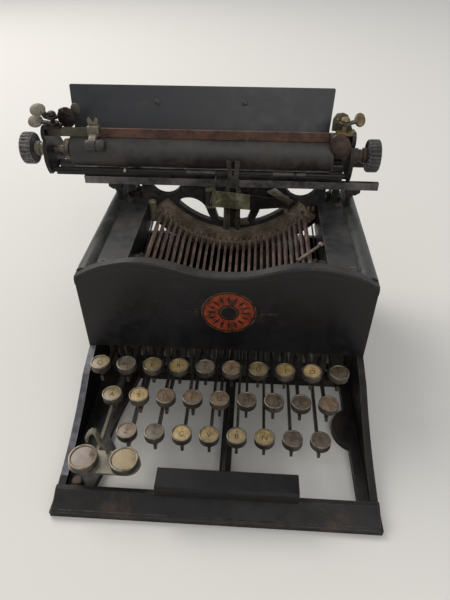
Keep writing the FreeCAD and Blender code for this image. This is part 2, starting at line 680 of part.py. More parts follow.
def type_guide():
    """The forked guide plate that centres each type slug at the strike point."""
    foot = s.strike_z - s.segment_inner + s.foot_gap
    fork = s.strike_z - s.guide_drop
    slot = s.slug_width / 2 + s.guide_play
    waist = fork - s.guide_waist
    outside = slot + s.guide_arm
    right = [(slot, fork), (outside, fork), (outside - 1, fork - s.guide_tip),
             (outside - 1, waist), (outside + 1, waist - 4), (outside + 1, foot),
             (slot + 1, foot), (slot + 1, waist - 2)]
    left = [(-point[0], point[1]) for point in reversed(right)]
    throat = [(1 - slot, fork - s.guide_throat), (slot - 1, fork - s.guide_throat)]
    return node("type_guide", slab("type_guide", "XZ_Plane", [right + left + throat],
                                   s.guide_thickness, y=s.guide_front + s.guide_thickness))


# ---------------------------------------------------------------- keys

def key_places():
    """Every key as name, x, y and height, row by row from the left."""
    bottom_y = front_y + s.row_front_setback
    middle_y = bottom_y + s.row_step_middle
    rows = (("top", 10, s.row_shift_top, middle_y + s.row_step_top,
             s.key_height + s.key_rise_middle + s.key_rise_top),
            ("middle", 9, s.row_shift_middle, middle_y, s.key_height + s.key_rise_middle),
            ("bottom", 8, s.row_shift_bottom, bottom_y, s.key_height))
    places = []
    for row_name, count, shift, y, height in rows:
        for index in range(count):
            x = shift + (index - (count - 1) / 2) * s.key_pitch
            places.append(("key_%s_%02d" % (row_name, index + 1), x, y, height))
    return places


def hub_arm(name, x, width, front, rear_tail, depth):
    """A flat arm in an upright plane, from front (y, z) to the fulcrum rod, with its bore."""
    low, high = front[1] - depth / 2, front[1] + depth / 2
    back_y, back_z = s.fulcrum_y + rear_tail, s.fulcrum_z
    return slab(name, "YZ_Plane", [[
        (front[0], low), (s.fulcrum_y - 8, back_z - depth / 2),
        (back_y, back_z - depth / 2), (back_y, back_z + depth / 2),
        (s.fulcrum_y - 8, back_z + depth / 2), (front[0], high)]],
        width, x=x - width / 2,
        holes=[(s.fulcrum_y, s.fulcrum_z, s.fulcrum_radius + s.pin_play)])


def coil(name, x):
    """A closed torsion spring on the fulcrum rod, as its turned outer shape."""
    inner, wire = s.fulcrum_radius + 0.4, s.coil_wire
    points = [(inner, 0)]
    turns = int(s.coil_turns)
    for turn in range(turns):
        points.append((inner + wire, wire * turn, inner + wire * 1.5, wire * (turn + 0.5)))
    points.append((inner + wire, wire * turns))
    points.append((inner, wire * turns))
    return turned(name, points, x, s.fulcrum_y, s.fulcrum_z, ALONG_X)


def key_cap(name, x, y, height, radius):
    """A metal cup ring with its legend disc, top face at height."""
    cup = cut(name + "_cup",
              rod(name + "_cup_out", radius, s.cup_depth, x, y, height - s.cup_depth),
              [rod(name + "_cup_in", radius - s.cup_wall, s.cup_depth, x, y,
                   height - s.cup_depth + s.cup_floor)])
    disc = rod(name + "_legend", radius - s.cup_wall - s.legend_play,
               s.cup_depth - s.cup_floor - s.legend_drop, x, y,
               height - s.cup_depth + s.cup_floor)
    return [cup, disc]


def lever_z(y, tip_y, height):
    """The middle of a key lever at y, above the table."""
    tip_z = height - lever_rise
    return tip_z + (s.fulcrum_z - tip_z) * ((y - tip_y) / (s.fulcrum_y - 8 - tip_y))


def keys():
    places = key_places()
    order = sorted(range(len(places)), key=lambda i: float(places[i][1]))
    for index, (name, x, y, height) in enumerate(places):
        front_z = height - lever_rise
        lever = hub_arm(name + "_lever", x, s.lever_width, (y - 3, front_z), s.lever_tail,
                        s.lever_depth)
        stem_foot = front_z + s.lever_depth / 2
        stem = rod(name + "_stem", s.stem_radius, height - s.cup_depth - stem_foot, x, y,
                   stem_foot)
        bar = order.index(index)
        slant = bar_angle(bar)
        reach = float(s.basket_radius + s.horn_length + s.hook_gap)
        top = (reach * math.sin(slant), s.basket_y - 4, float(s.strike_z)
               - reach * math.cos(slant))
        foot = (x, s.hook_y, lever_z(s.hook_y, y - 3, height) + s.lever_depth / 2
                + s.hook_radius * 0.6)
        hook = rod_between(name + "_hook", s.hook_radius, foot, top)
        parts = [lever, stem, coil(name + "_coil", x + s.lever_width / 2), hook]
        node(name, group(name, parts + key_cap(name, x, y, height, s.cup_radius)))


def fulcrum_rod():
    length = 2 * (wall_x - 1)
    return node("fulcrum_rod", rod("fulcrum_rod", s.fulcrum_radius, length, -length / 2,
                                   s.fulcrum_y, s.fulcrum_z, ALONG_X))


def key_comb():
    """The comb that guides every lever just behind the front panel."""
    front = panel_back_y + s.panel_gap + 3
    plate = box("comb_plate", (-s.comb_reach, s.comb_reach), (front, front + s.comb_depth),
                (s.web_height, s.comb_top))
    slots = []
    arms = [x for name, x, y, height in key_places()]
    arms += [s.space_arm_x, s.shift_lever_x]
    half = s.lever_width / 2 + s.comb_slot_play
    for index, x in enumerate(arms):
        slots.append(box("comb_slot_%02d" % index, (x - half, x + half),
                         (front - 1, front + s.comb_depth + 1),
                         (s.web_height + 1, s.comb_top + 1)))
    return node("key_comb", cut("key_comb", plate, slots))


def space_bar():
    """The space bar with its long arm, above the middle rib, back to the fulcrum rod."""
    low = s.space_center - s.space_width / 2
    bottom = s.space_top - s.space_thickness
    front = front_y + s.space_setback
    rear, bevel = front + s.space_depth, s.space_bevel
    bar = slab("space_slab", "YZ_Plane", [[
        (front, bottom), (rear, bottom), (rear, s.space_top - bevel),
        (rear - bevel, s.space_top), (front + bevel, s.space_top),
        (front, s.space_top - bevel)]], s.space_width, x=low)
    arm = hub_arm("space_arm", s.space_arm_x, s.lever_width, (rear, s.fulcrum_z), s.lever_tail,
                  s.space_arm_depth)
    return node("space_bar", group("space_bar", [bar, arm]))


def universal_bar():
    """The bar under all levers that any key pushes down, hung on the fulcrum rod."""
    top = s.fulcrum_z - s.universal_drop + s.universal_thickness
    front = s.universal_y - s.universal_depth / 2
    bar = box("universal_strip", (-s.universal_reach, s.universal_reach),
              (front, front + s.universal_depth), (top - s.universal_thickness, top))
    parts = [bar]
    for name, x in (("left", -s.universal_reach), ("right", s.universal_reach
                                                   - s.lever_width)):
        parts.append(slab("universal_arm_" + name, "YZ_Plane", [[
            (front, top), (front + s.universal_depth, top),
            (s.fulcrum_y - 3, s.fulcrum_z - 4), (s.fulcrum_y + 4, s.fulcrum_z - 4),
            (s.fulcrum_y + 4, s.fulcrum_z + 4), (s.fulcrum_y - 4, s.fulcrum_z + 4)]],
            s.lever_width, x=x,
            holes=[(s.fulcrum_y, s.fulcrum_z, s.fulcrum_radius + s.pin_play)]))
    return node("universal_bar", group("universal_bar", parts))


# ---------------------------------------------------------------- shift

def shift_key_plate():
    """Both shift keys on one plate, its lever, the rocker shaft and the two lifting arms."""
    x, y, height = s.shift_plate_x, front_y + s.shift_plate_setback, s.shift_key_height
    plate_top = height - s.cup_depth
    plate_low = plate_top - s.shift_plate_thickness
    half, round_half = s.shift_plate_length / 2, s.shift_plate_width / 2
    flat = half - round_half
    plate = slab("shift_plate", "XY_Plane", [[
        (x - flat, y - round_half), (x + flat, y - round_half, x + half, y),
        (x + flat, y + round_half), (x - flat, y + round_half, x - half, y)]],
        s.shift_plate_thickness, z=plate_low)
    parts = [plate]
    for name, side in (("left", -1), ("right", 1)):
        parts += key_cap("shift_key_" + name, x + side * s.shift_key_span / 2, y, height,
                         s.shift_key_radius)
    lever_x = s.shift_lever_x
    depth = s.shift_arm_depth
    hub = depth - 0.5
    lever = slab("shift_lever", "YZ_Plane", [[
        (y - 4, plate_low), (y - 4, plate_low - 2.5), (y + 14, plate_low - 4),
        (y + 36, plate_low - 6), (shaft_y - 20, shaft_z + 6), (shaft_y - hub, shaft_z + 4),
        (shaft_y - hub, shaft_z), (shaft_y, shaft_z - hub + 0.5), (shaft_y + hub, shaft_z),
        (shaft_y + hub, shaft_z + 3), (shaft_y - 2, shaft_z + 9),
        (shaft_y - 20, shaft_z + 12), (y + 14, plate_low + 0.5), (y + 8, plate_low)]],
        s.lever_width, x=lever_x - s.lever_width / 2,
        holes=[(shaft_y, shaft_z, s.shift_shaft_radius)])
    shaft_half = wall_x - 0.5
    shaft = rod("shift_shaft", s.shift_shaft_radius, 2 * shaft_half, -shaft_half, shaft_y,
                shaft_z, ALONG_X)
    parts += [lever, shaft]
    for name, side in (("left", -1), ("right", 1)):
        middle = side * s.lift_rod_x
        parts.append(slab("shift_arm_" + name, "YZ_Plane", [[
            (shaft_y - 4, shaft_z - 3), (s.lift_rod_y + 3, shaft_z - 3),
            (s.lift_rod_y + 3, shaft_z + 2), (shaft_y + 6, shaft_z + 4),
            (shaft_y - 4, shaft_z + 4)]], s.lever_width,
            x=middle - s.lever_width / 2,
            holes=[(shaft_y, shaft_z, s.shift_shaft_radius)]))
    return node("shift_key_plate", group("shift_key_plate", parts))


def shift_frame():
    """The lifting frame: side arms under the rails, guide pins, lift rods and lugs."""
    parts = []
    arm_low = s.rail_bottom - s.side_arm_depth
    half = s.side_arm_width / 2
    radius = s.lift_rod_radius
    for name, side in (("left", -1), ("right", 1)):
        x = side * s.guide_pin_x
        lift_x = side * s.lift_rod_x
        foot = shaft_z + 2 + s.lift_gap
        lug_low = s.rail_bottom - s.rail_thick
        parts += [
            box("frame_arm_" + name, (x - half, x + half),
                (s.rail_front, rear_rail_y + s.rail_thick), (arm_low, s.rail_bottom)),
            rod("frame_pin_" + name, s.guide_pin_radius, s.guide_pin_length, x,
                s.guide_pin_y, arm_low - s.guide_pin_length),
            rod("lift_rod_" + name, radius, lug_low - foot, lift_x, s.lift_rod_y, foot),
            box("lift_lug_" + name, (lift_x - radius, lift_x + radius),
                (s.lift_rod_y - radius, s.rail_front + s.rail_thick),
                (lug_low, s.rail_bottom))]
    cross_y = rear_rail_y - s.cross_setback
    reach = s.guide_pin_x - half
    parts.append(box("frame_cross", (-reach, reach), (cross_y, cross_y + s.cross_width),
                     (arm_low, s.rail_bottom)))
    return node("shift_frame", group("shift_frame", parts))


def carriage_rails():
    parts = []
    low, high = s.rail_center - s.rail_half, s.rail_center + s.rail_half
    for name, y in (("front", s.rail_front), ("rear", rear_rail_y)):
        parts.append(box("rail_" + name, (low, high), (y, y + s.rail_thick),
                         (s.rail_bottom, rail_top)))
    bore = rod("rail_bore", s.lever_pin + s.pin_play, s.rail_thick + 2, 0, rear_rail_y - 1,
               escape_z, ALONG_Y)
    parts[1] = cut("rail_rear_bored", parts[1], [bore])
    return node("carriage_rails", group("carriage_rails", parts))


# ---------------------------------------------------------------- carriage

def end_plate(name, x):
    """A sickle-shaped carriage end plate with the platen's bearing."""
    y, z = s.platen_y, s.platen_z
    low = rail_top + s.plate_lift
    front, rear = s.front_rod_y, s.rear_rod_y
    back, crest = rear + 4, z + s.plate_rise
    points = [
        (front - 3, low), (back, low, rear + s.plate_tail, low + 3),
        (back, low + 8, y + s.platen_radius, z + 9), (y + 4, crest - 2),
        (y - 8, crest, y - s.platen_radius, crest - 4),
        (y - s.knob_radius, z + 12, y - s.platen_radius - 4.5, z - 2)]
    return slab(name, "YZ_Plane", [points], s.plate_thickness, x=x - s.plate_thickness / 2,
                holes=[(y, z, s.platen_shaft + s.pin_play)])


SLEEVES = ((-117, -97), (-40, -16), (34, 51), (54, 61))


def sleeve(name, low, high):
    outer = rod(name + "_out", s.sleeve_radius, high - low, low, s.front_rod_y,
                s.front_rod_z, ALONG_X)
    bore = rod(name + "_in", s.frame_rod_radius, high - low + 2, low - 1, s.front_rod_y,
               s.front_rod_z, ALONG_X)
    return cut(name, outer, [bore])


def rod_seat(name, block_item, x, y):
    """Cuts the seat of a tie rod out of a block."""
    bore = rod(name + "_bore", s.frame_rod_radius, 400, x, y, s.front_rod_z, ALONG_X)
    return cut(name, block_item, [bore])


def carriage_frame():
    """End plates, tie rods with their sleeves, rail shoes and the lever brackets."""
    parts = [end_plate("end_plate_left", plate_left_x),
             end_plate("end_plate_right", plate_right_x)]
    half = s.plate_thickness / 2
    inner_left, inner_right = plate_left_x + half, plate_right_x - half
    length = inner_right - inner_left
    for name, y in (("front", s.front_rod_y), ("rear", s.rear_rod_y)):
        parts.append(rod("tie_rod_" + name, s.frame_rod_radius, length, inner_left, y,
                         s.front_rod_z, ALONG_X))
    parts += [sleeve("sleeve_%d" % index, low, high)
              for index, (low, high) in enumerate(SLEEVES)]
    foot, half_shoe = rail_top + s.shoe_gap, s.shoe_length / 2
    for index, middle in enumerate((s.shoe_left, s.shoe_right)):
        x = (middle - half_shoe, middle + half_shoe)
        front = box("shoe_front_blank_%d" % index, x, (s.rail_front, s.front_rod_y),
                    (foot, s.front_rod_z))
        parts.append(rod_seat("shoe_front_%d" % index, front, -200, s.front_rod_y))
        parts.append(box("shoe_rear_%d" % index, x, (rear_rail_y + s.lift_gap,
                                                     rear_rail_y + s.rail_thick),
                         (foot, s.front_rod_z)))
    rack = box("carriage_rack_blank", (platen_left_x, platen_right_x),
               (s.rear_rod_y, rear_rail_y + s.rail_thick),
               (s.front_rod_z, s.front_rod_z + s.rack_height))
    parts.append(rod_seat("carriage_rack", rack, -200, s.rear_rod_y))
    parts += lever_stand("stand_left", inner_left, -1) + lever_stand("stand_right",
                                                                     inner_right, 1)
    parts.append(rod("scale_boss", s.boss_radius, 4, inner_right - 7, s.scale_y - 4,
                     s.scale_bottom + 1, ALONG_Y))
    return node("carriage_frame", group("carriage_frame", parts))


def fluted_knob(name, x, side):
    """A fluted hard-rubber knob that grows outward from x."""
    r, length = s.knob_radius, s.knob_length
    blank = turned(name + "_blank", [
        (0, 0), (r - 3, 0), (r - 1, 1, r - 0.3, 2), (r, 4),
        (r, length - 3, r - 0.9, length - 0.9), (r - 3, length), (0, length)],
        x, s.platen_y, s.platen_z,
        FreeCAD.Rotation(FreeCAD.Vector(0, 0, 1), FreeCAD.Vector(side, 0, 0)))
    start = x if side > 0 else x - length
    flutes = []
    count = int(s.knob_flutes)
    for index in range(count):
        angle = 2 * math.pi * index / count
        flutes.append(rod("%s_flute_%02d" % (name, index), s.flute_radius, length - 2,
                          start + 1, s.platen_y + r * math.cos(angle),
                          s.platen_z + r * math.sin(angle), ALONG_X))
    return cut(name, blank, flutes)


def platen():
    """The rubber roller on its shaft with both fluted knobs, hubs and the line ratchet."""
    y, z = s.platen_y, s.platen_z
    half = s.plate_thickness / 2
    left_knob = plate_left_x - half - s.knob_left_gap
    right_knob = plate_right_x + half + s.knob_right_gap
    core = cut("platen_rubber", rod("platen_out", s.platen_radius, s.platen_length,
                                    platen_left_x, y, z, ALONG_X),
               [rod("platen_in", s.platen_shaft, s.platen_length + 2, platen_left_x - 1, y, z,
                    ALONG_X)])
    shaft = rod("platen_shaft_rod", s.platen_shaft, right_knob - left_knob, left_knob, y, z,
                ALONG_X)
    ratchet_x = platen_left_x - 7
    ratchet = cut("ratchet", rod("ratchet_out", s.ratchet_radius, 4, ratchet_x, y, z, ALONG_X),
                  [rod("ratchet_in", s.platen_shaft, 6, ratchet_x - 1, y, z, ALONG_X)])
    parts = [core, shaft, ratchet]
    for name, x, side, gap in (("left", left_knob, -1, s.knob_left_gap),
                               ("right", right_knob, 1, s.knob_right_gap)):
        parts.append(fluted_knob("knob_" + name, x, side))
        hub_x = x if side < 0 else x - (gap - 1)
        outer = rod("hub_out_" + name, s.platen_shaft + 3.5, gap - 1, hub_x, y, z, ALONG_X)
        bore = rod("hub_in_" + name, s.platen_shaft, gap + 1, hub_x - 1, y, z, ALONG_X)
        parts.append(cut("hub_" + name, outer, [bore]))
    return node("platen", group("platen", parts))


def feed_roller():
    reach = s.platen_radius + s.feed_gap + s.feed_radius
    y = s.platen_y + reach * sine(s.feed_angle)
    z = s.platen_z - reach * cosine(s.feed_angle)
    length = plate_right_x - plate_left_x - s.plate_thickness
    return node("feed_roller", rod("feed_roller", s.feed_radius, length - 0.6,
                                   plate_left_x + s.plate_thickness / 2 + 0.3, y, z, ALONG_X))


def paper_table():
    """The sheet-metal paper table with round top corners, its brackets and rivets."""
    low = s.carriage_x - s.table_length / 2
    high = s.carriage_x + s.table_length / 2
    height, corner = s.table_height, s.table_corner
    sheet_body = slab("table_sheet", "XZ_Plane", [[
        (low + 3, 0), (high - 3, 0),
        (high, height - corner, high - corner * 0.29, height - corner * 0.29),
        (high - corner, height),
        (low + corner, height, low + corner * 0.29, height - corner * 0.29),
        (low, height - corner)]], s.table_thickness)
    tilt = FreeCAD.Rotation(FreeCAD.Vector(1, 0, 0), -float(s.table_tilt))
    place(sheet_body, 0, s.table_foot_y, s.table_foot_z, tilt)
    parts = [sheet_body]
    normal = tilt.multVec(FreeCAD.Vector(0, -1, 0))
    along = tilt.multVec(FreeCAD.Vector(0, 0, 1))
    for index, x in enumerate((s.rivet_left, s.rivet_right)):
        seat = FreeCAD.Vector(float(x), float(s.table_foot_y), float(s.table_foot_z))
        seat += along * float(s.table_height) * 0.62 + normal * float(s.table_thickness)
        parts.append(rod_between("table_rivet_%d" % index, s.rivet_radius, seat,
                                 seat + normal * 0.8))
        parts.append(table_bracket("table_bracket_%d" % index, x))
    return node("paper_table", group("paper_table", parts))


def table_bracket(name, x):
    """A strap from the rear tie rod up to the back of the paper table."""
    slope = math.tan(math.radians(float(s.table_tilt)))
    foot_y, foot_z = s.table_foot_y, s.table_foot_z
    rise = s.table_height * 0.6
    front, top = s.rear_rod_y + s.lift_gap, s.front_rod_z + s.rack_height
    return slab(name, "YZ_Plane", [[
        (front, top), (front + 7, top), (foot_y + rise * slope + 4, foot_z + rise),
        (foot_y + rise * slope, foot_z + rise), (foot_y + 2 * slope, foot_z + 2),
        (front, foot_z - 6)]], s.bracket_width, x=x - s.bracket_width / 2)


def line_scale():
    """The graduated strip above the platen, between the end plates."""
    half = s.plate_thickness / 2
    return node("line_scale", box("line_scale", (plate_left_x + half, plate_right_x - half),
                                  (s.scale_y, s.scale_y + s.scale_thickness),
                                  (s.scale_bottom, s.scale_bottom + s.scale_height)))


def paper_finger():
    """The sliding clip on the line scale with its small paper roller."""
    x, half = s.finger_x, s.finger_width / 2
    gap = 0.3
    front, rear = s.scale_y - gap, s.scale_y + s.scale_thickness + gap
    top = s.scale_bottom + s.scale_height + gap
    reach = s.platen_radius + gap + s.finger_roller
    roller_y = s.platen_y - reach * 0.7071
    roller_z = s.platen_z + reach * 0.7071
    clip = slab("finger_clip", "YZ_Plane", [[
        (front - 2, s.scale_bottom + 1), (front, s.scale_bottom + 1), (front, top),
        (rear, top), (rear, s.scale_bottom + 2), (rear + 2, s.scale_bottom + 2),
        (rear + 2, top + 5), (rear, top + 7), (front, top + 2), (front - 2, top + 2)]],
        2 * half, x=x - half)
    arm = slab("finger_arm", "YZ_Plane", [[
        (front - 2, s.scale_bottom + 1), (front - 2, s.scale_bottom + 5),
        (roller_y - 2, roller_z + 3.5), (roller_y - 4.5, roller_z + 1),
        (roller_y - 4.5, roller_z - 2), (roller_y - 3.2, roller_z - 2),
        (roller_y - 3.2, roller_z)]], s.finger_width / 2, x=x - s.finger_width / 4)
    roller = rod("finger_roller", s.finger_roller, s.finger_width * 1.8,
                 x - s.finger_width * 0.9, roller_y, roller_z, ALONG_X)
    arm_clear = cut("finger_arm_cut", arm, [rod("finger_arm_bore", s.finger_roller,
                    s.finger_width * 2, x - s.finger_width, roller_y, roller_z, ALONG_X)])
    return node("paper_finger", group("paper_finger", [clip, arm_clear, roller]))


def thumb_lever(name, pivot_x, pivot_y, bottom, side, length):
    """A flat lever with a round thumb lobe, from its pivot hole outward to one side."""
    half, lobe = s.thumb_width / 2, s.thumb_lobe
    neck = pivot_x + side * (length - lobe)
    tip = pivot_x + side * (length + lobe)
    return node(name, slab(name, "XY_Plane", [[
        (pivot_x, pivot_y - half), (neck, pivot_y - half, pivot_x + side * length,
                                    pivot_y - lobe),
        (tip, pivot_y, pivot_x + side * length, pivot_y + lobe),
        (neck, pivot_y + half), (pivot_x, pivot_y + half,
                                 pivot_x - side * half, pivot_y)]],
        s.thumb_thickness, z=bottom,
        holes=[(pivot_x, pivot_y, s.lever_pin + s.pin_play)]))


def lever_stand(name, wall_x_inner, side):
    """The shelf on an end plate with the post that carries the thumb levers."""
    shelf_low = s.scale_bottom + s.scale_height + s.lift_gap
    shelf_high = shelf_low + s.thumb_thickness
    inner = wall_x_inner - side * s.stand_reach
    limits = (wall_x_inner, inner) if side < 0 else (inner, wall_x_inner)
    shelf = box(name + "_shelf", limits, (s.stand_y - 5, s.stand_y + 5),
                (shelf_low, shelf_high))
    post = rod(name + "_post", s.lever_pin, s.stand_height,
               wall_x_inner - side * s.stand_inset, s.stand_y, shelf_high)
    return [shelf, post]


def thumb_levers():
    half = s.plate_thickness / 2
    low = (s.scale_bottom + s.scale_height + s.lift_gap + s.thumb_thickness) + s.lift_gap
    high = low + s.thumb_step
    left = plate_left_x + half + s.stand_inset
    right = plate_right_x - half - s.stand_inset
    thumb_lever("line_space_lever", left, s.stand_y, high, -1, s.thumb_length)
    thumb_lever("platen_release_lever", left, s.stand_y, low, -1, s.thumb_length + 2)
    thumb_lever("paper_release_lever", right, s.stand_y, high, 1, s.thumb_length - 2)


# ---------------------------------------------------------------- works at the rear

def mainspring_drum():
    """The drum that pulls the carriage along, with its flanges and strap groove."""
    r, depth = s.drum_radius, s.drum_depth
    bore = s.stud_radius + s.pin_play
    profile = [(bore, 0), (r, 0), (r, depth * 0.2), (r - 1.5, depth * 0.2),
               (r - 1.5, depth * 0.55), (r, depth * 0.55), (r, depth * 0.75),
               (r - 4, depth * 0.75), (r - 4, depth), (bore, depth)]
    return node("mainspring_drum", turned("mainspring_drum", profile, s.drum_x,
                                          works_rear_y - depth, s.drum_z, ALONG_Y))


def escapement_wheel():
    """The toothed escape wheel with its shaft and the pinion under the carriage rack."""
    rail_back = rear_rail_y + s.rail_thick
    pinion_radius = s.front_rod_z - s.lift_gap - escape_z
    teeth = int(s.wheel_teeth)
    points = []
    for index in range(teeth):
        for turn, radius in ((0, s.wheel_radius), (0.5, s.wheel_radius - s.tooth_depth)):
            angle = 2 * math.pi * (index + turn) / teeth
            points.append((radius * math.cos(angle), radius * math.sin(angle)))
    back = rail_back + s.wheel_gap
    wheel = slab("escape_disc", "XZ_Plane", [points], s.wheel_thickness,
                 y=back + s.wheel_thickness, z=escape_z)
    front = rear_rail_y - s.lift_gap
    shaft = rod("escape_shaft", s.lever_pin, back - front, 0, front, escape_z, ALONG_Y)
    pinion = rod("escape_pinion", pinion_radius, s.pinion_width, 0, front - s.pinion_width,
                 escape_z, ALONG_Y)
    return node("escapement_wheel", fuse("escapement_wheel", [wheel, shaft, pinion]))


def bell():
    """The warning bell, an open dome on its stud."""
    r, depth, wall = s.bell_radius, s.bell_depth, s.bell_wall
    bore = s.stud_radius
    outer = [(bore, 0), (r * 0.45, 0, r * 0.86, depth * 0.34), (r, depth)]
    inner = [(r - wall, depth, (r - wall) * 0.84, depth * 0.34 + wall),
             (r * 0.45, wall), (bore, wall)]
    return node("bell", turned("bell", outer + inner, s.bell_x, works_rear_y - depth,
                               s.bell_z, ALONG_Y))


def bell_clapper():
    """The clapper arm with its ball, on a stud that stands out of the base's rear wall."""
    ball_z = s.bell_z - s.bell_radius - s.clapper_radius - s.clapper_gap
    y, pivot_z = clapper_y, s.clapper_z
    arm = slab("clapper_arm", "XZ_Plane", [[
        (s.bell_x - 1.5, pivot_z - 4), (s.bell_x + 1.5, pivot_z - 4),
        (s.bell_x + 1.5, ball_z), (s.bell_x - 1.5, ball_z)]], 1.6, y=y + 0.8)
    ball = doc.addObject("Part::Sphere", "clapper_ball")
    bind(ball, Radius=s.clapper_radius)
    place(ball, s.bell_x, y, ball_z)
    solid = fuse("clapper_solid", [arm, ball, rod("clapper_boss", 3.5, 3, s.bell_x, y - 1.5,
                                                  pivot_z, ALONG_Y)])
    bore = rod("clapper_bore", s.lever_pin + s.pin_play, 10, s.bell_x, y - 5, pivot_z, ALONG_Y)
    return node("bell_clapper", cut("bell_clapper", solid, [bore]))


# ---------------------------------------------------------------- inking

def ink_arm():
    """The inking arm: a strip in front of the guide that swings on its post at the right."""
    left, pivot_x, pivot_y = s.ink_left, s.ink_pivot_x, s.ink_pivot_y
    low = s.strike_z - s.ink_drop
    high = low + s.ink_height
    strip = slab("ink_strip", "XZ_Plane", [[
        (left, low), (left + 33, low - 2), (pivot_x + 2, low + 1.5), (pivot_x + 2, low + 8),
        (left + 33, high - 3), (left, high)]],
        s.ink_arm_thickness, y=s.ink_front + s.ink_arm_thickness)
    hub = rod("ink_hub", s.lever_pin + 1.4, 10, pivot_x, pivot_y, low - 0.5)
    bore = rod("ink_bore", s.lever_pin + s.pin_play, 40, pivot_x, pivot_y, low - 20)
    yoke_x = (left - 2 * s.ink_radius, left + 3)
    yoke_y = (s.ink_front, s.ink_front + s.ink_yoke_depth)
    yokes = [box("ink_yoke_top", yoke_x, yoke_y, (high - 0.5, high + 1)),
             box("ink_yoke_low", yoke_x, yoke_y, (low - 1.5, low))]
    node("ink_arm", cut("ink_arm", fuse("ink_solid", [strip, hub] + yokes), [bore]))
    roller = rod("ink_roller", s.ink_radius, s.ink_height - 3 * s.lift_gap,
                 left - s.ink_radius - s.lift_gap, s.ink_front + s.ink_radius + 0.5,
                 low + s.lift_gap)
    return node("ink_roller", roller)


# ---------------------------------------------------------------- fasteners

def slotted_screw(name, x, y, z):
    """A cheese-head screw's head, standing on z."""
    head = rod(name + "_head", s.screw_head, s.screw_height, x, y, z)
    slot = box(name + "_slot", (x - s.screw_head, x + s.screw_head),
               (y - s.slot_width / 2, y + s.slot_width / 2),
               (z + s.screw_height / 2, z + s.screw_height + 1))
    return cut(name, head, [slot])


def frame_screws():
    parts = []
    reach = wall_x - s.rim_width - s.deck_screw_inset
    rear = arch_front_y - s.deck_screw_inset
    front = arch_front_y - deck_length() + 2 * s.deck_screw_inset
    for side_name, side in (("left", -1), ("right", 1)):
        for end, y in (("front", front), ("rear", rear)):
            parts.append(slotted_screw("deck_screw_%s_%s" % (side_name, end), side * reach, y,
                                       s.wall_top))
    start = clapper_y - s.clapper_inset
    parts.append(rod("clapper_stud", s.lever_pin, rear_wall_y - s.base_wall - start, s.bell_x,
                     start, s.clapper_z, ALONG_Y))
    return node("frame_screws", group("frame_screws", parts))


def main():
    base_frame()
    body_casing()
    deck_plates()
    arch_frame()
    typebar_segment()
    type_bars()
    type_bar_rest()
    type_guide()
    keys()
    fulcrum_rod()
    key_comb()
    space_bar()
    universal_bar()
    shift_key_plate()
    shift_frame()
    carriage_rails()
    carriage_frame()
    platen()
    feed_roller()
    paper_table()
    line_scale()
    paper_finger()
    thumb_levers()
    mainspring_drum()
    escapement_wheel()
    bell()
    bell_clapper()
    ink_arm()
    frame_screws()


def check_and_write():
    doc.recompute()
    for item in doc.Objects:
        if "Invalid" in item.State or "Error" in item.State:
            raise RuntimeError("%s failed: %s" % (item.Label, item.State))
    os.makedirs("parts", exist_ok=True)
    for item in NODES:
        if item.Shape.isNull() or not item.Shape.isValid():
            raise RuntimeError("%s has no valid shape" % item.Label)
    for item in NODES:
        item.Shape.exportStep("parts/%s.step" % item.Label)
        print(item.Label, len(item.Shape.Solids), round(item.Shape.Volume))


main()
check_and_write()
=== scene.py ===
import math

import bmesh
import bpy
from mathutils import Matrix, Vector


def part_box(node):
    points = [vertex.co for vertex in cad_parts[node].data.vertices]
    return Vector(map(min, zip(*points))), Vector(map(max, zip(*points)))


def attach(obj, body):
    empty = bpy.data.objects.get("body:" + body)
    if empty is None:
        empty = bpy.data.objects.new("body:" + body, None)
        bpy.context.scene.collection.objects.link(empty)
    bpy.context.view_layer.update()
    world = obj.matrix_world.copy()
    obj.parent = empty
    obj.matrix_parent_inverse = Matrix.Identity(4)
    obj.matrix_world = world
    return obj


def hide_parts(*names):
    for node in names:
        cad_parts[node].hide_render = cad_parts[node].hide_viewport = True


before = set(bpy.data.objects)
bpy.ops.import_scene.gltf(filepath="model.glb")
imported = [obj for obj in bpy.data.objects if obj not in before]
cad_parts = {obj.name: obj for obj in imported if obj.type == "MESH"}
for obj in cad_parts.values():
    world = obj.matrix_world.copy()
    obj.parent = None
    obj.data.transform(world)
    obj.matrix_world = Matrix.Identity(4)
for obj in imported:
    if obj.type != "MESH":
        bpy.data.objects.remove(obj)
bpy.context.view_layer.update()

# A front-strike typewriter. Shapes are worked out in millimetres and stored in metres.
MM = 0.001
AXES = {"x": Vector((1, 0, 0)), "y": Vector((0, 1, 0)), "z": Vector((0, 0, 1))}


def tone(red, green, blue):
    """A display colour from 0 to 255 as a linear one."""
    parts = [part / 255 for part in (red, green, blue)]
    return [part / 12.92 if part <= 0.04045 else ((part + 0.055) / 1.055) ** 2.4
            for part in parts] + [1.0]


# ---------------------------------------------------------------- shader groups

def node(tree, kind, settings=None, **sockets):
    """A node with its settings, and each named socket set to a value or linked."""
    item = tree.nodes.new("ShaderNode" + kind)
    for name, value in (settings or {}).items():
        setattr(item, name, value)
    for name, value in sockets.items():
        key = int(name[1:]) if name[1:].isdigit() else name.replace("_", " ")
        if isinstance(value, bpy.types.NodeSocket):
            tree.links.new(value, item.inputs[key])
        else:
            item.inputs[key].default_value = value
    return item


def shader_group(name, inputs, outputs):
    tree = bpy.data.node_groups.new(name, "ShaderNodeTree")
    for label, kind, value in inputs:
        socket = tree.interface.new_socket(label, in_out="INPUT", socket_type="NodeSocket" + kind)
        socket.default_value = value
    for label, kind in outputs:
        tree.interface.new_socket(label, in_out="OUTPUT", socket_type="NodeSocket" + kind)
    return tree, tree.nodes.new("NodeGroupInput").outputs, tree.nodes.new("NodeGroupOutput").inputs


def math_node(tree, operation, a, b=0.0, clamp=False):
    return node(tree, "Math", {"operation": operation, "use_clamp": clamp}, _0=a, _1=b).outputs[0]


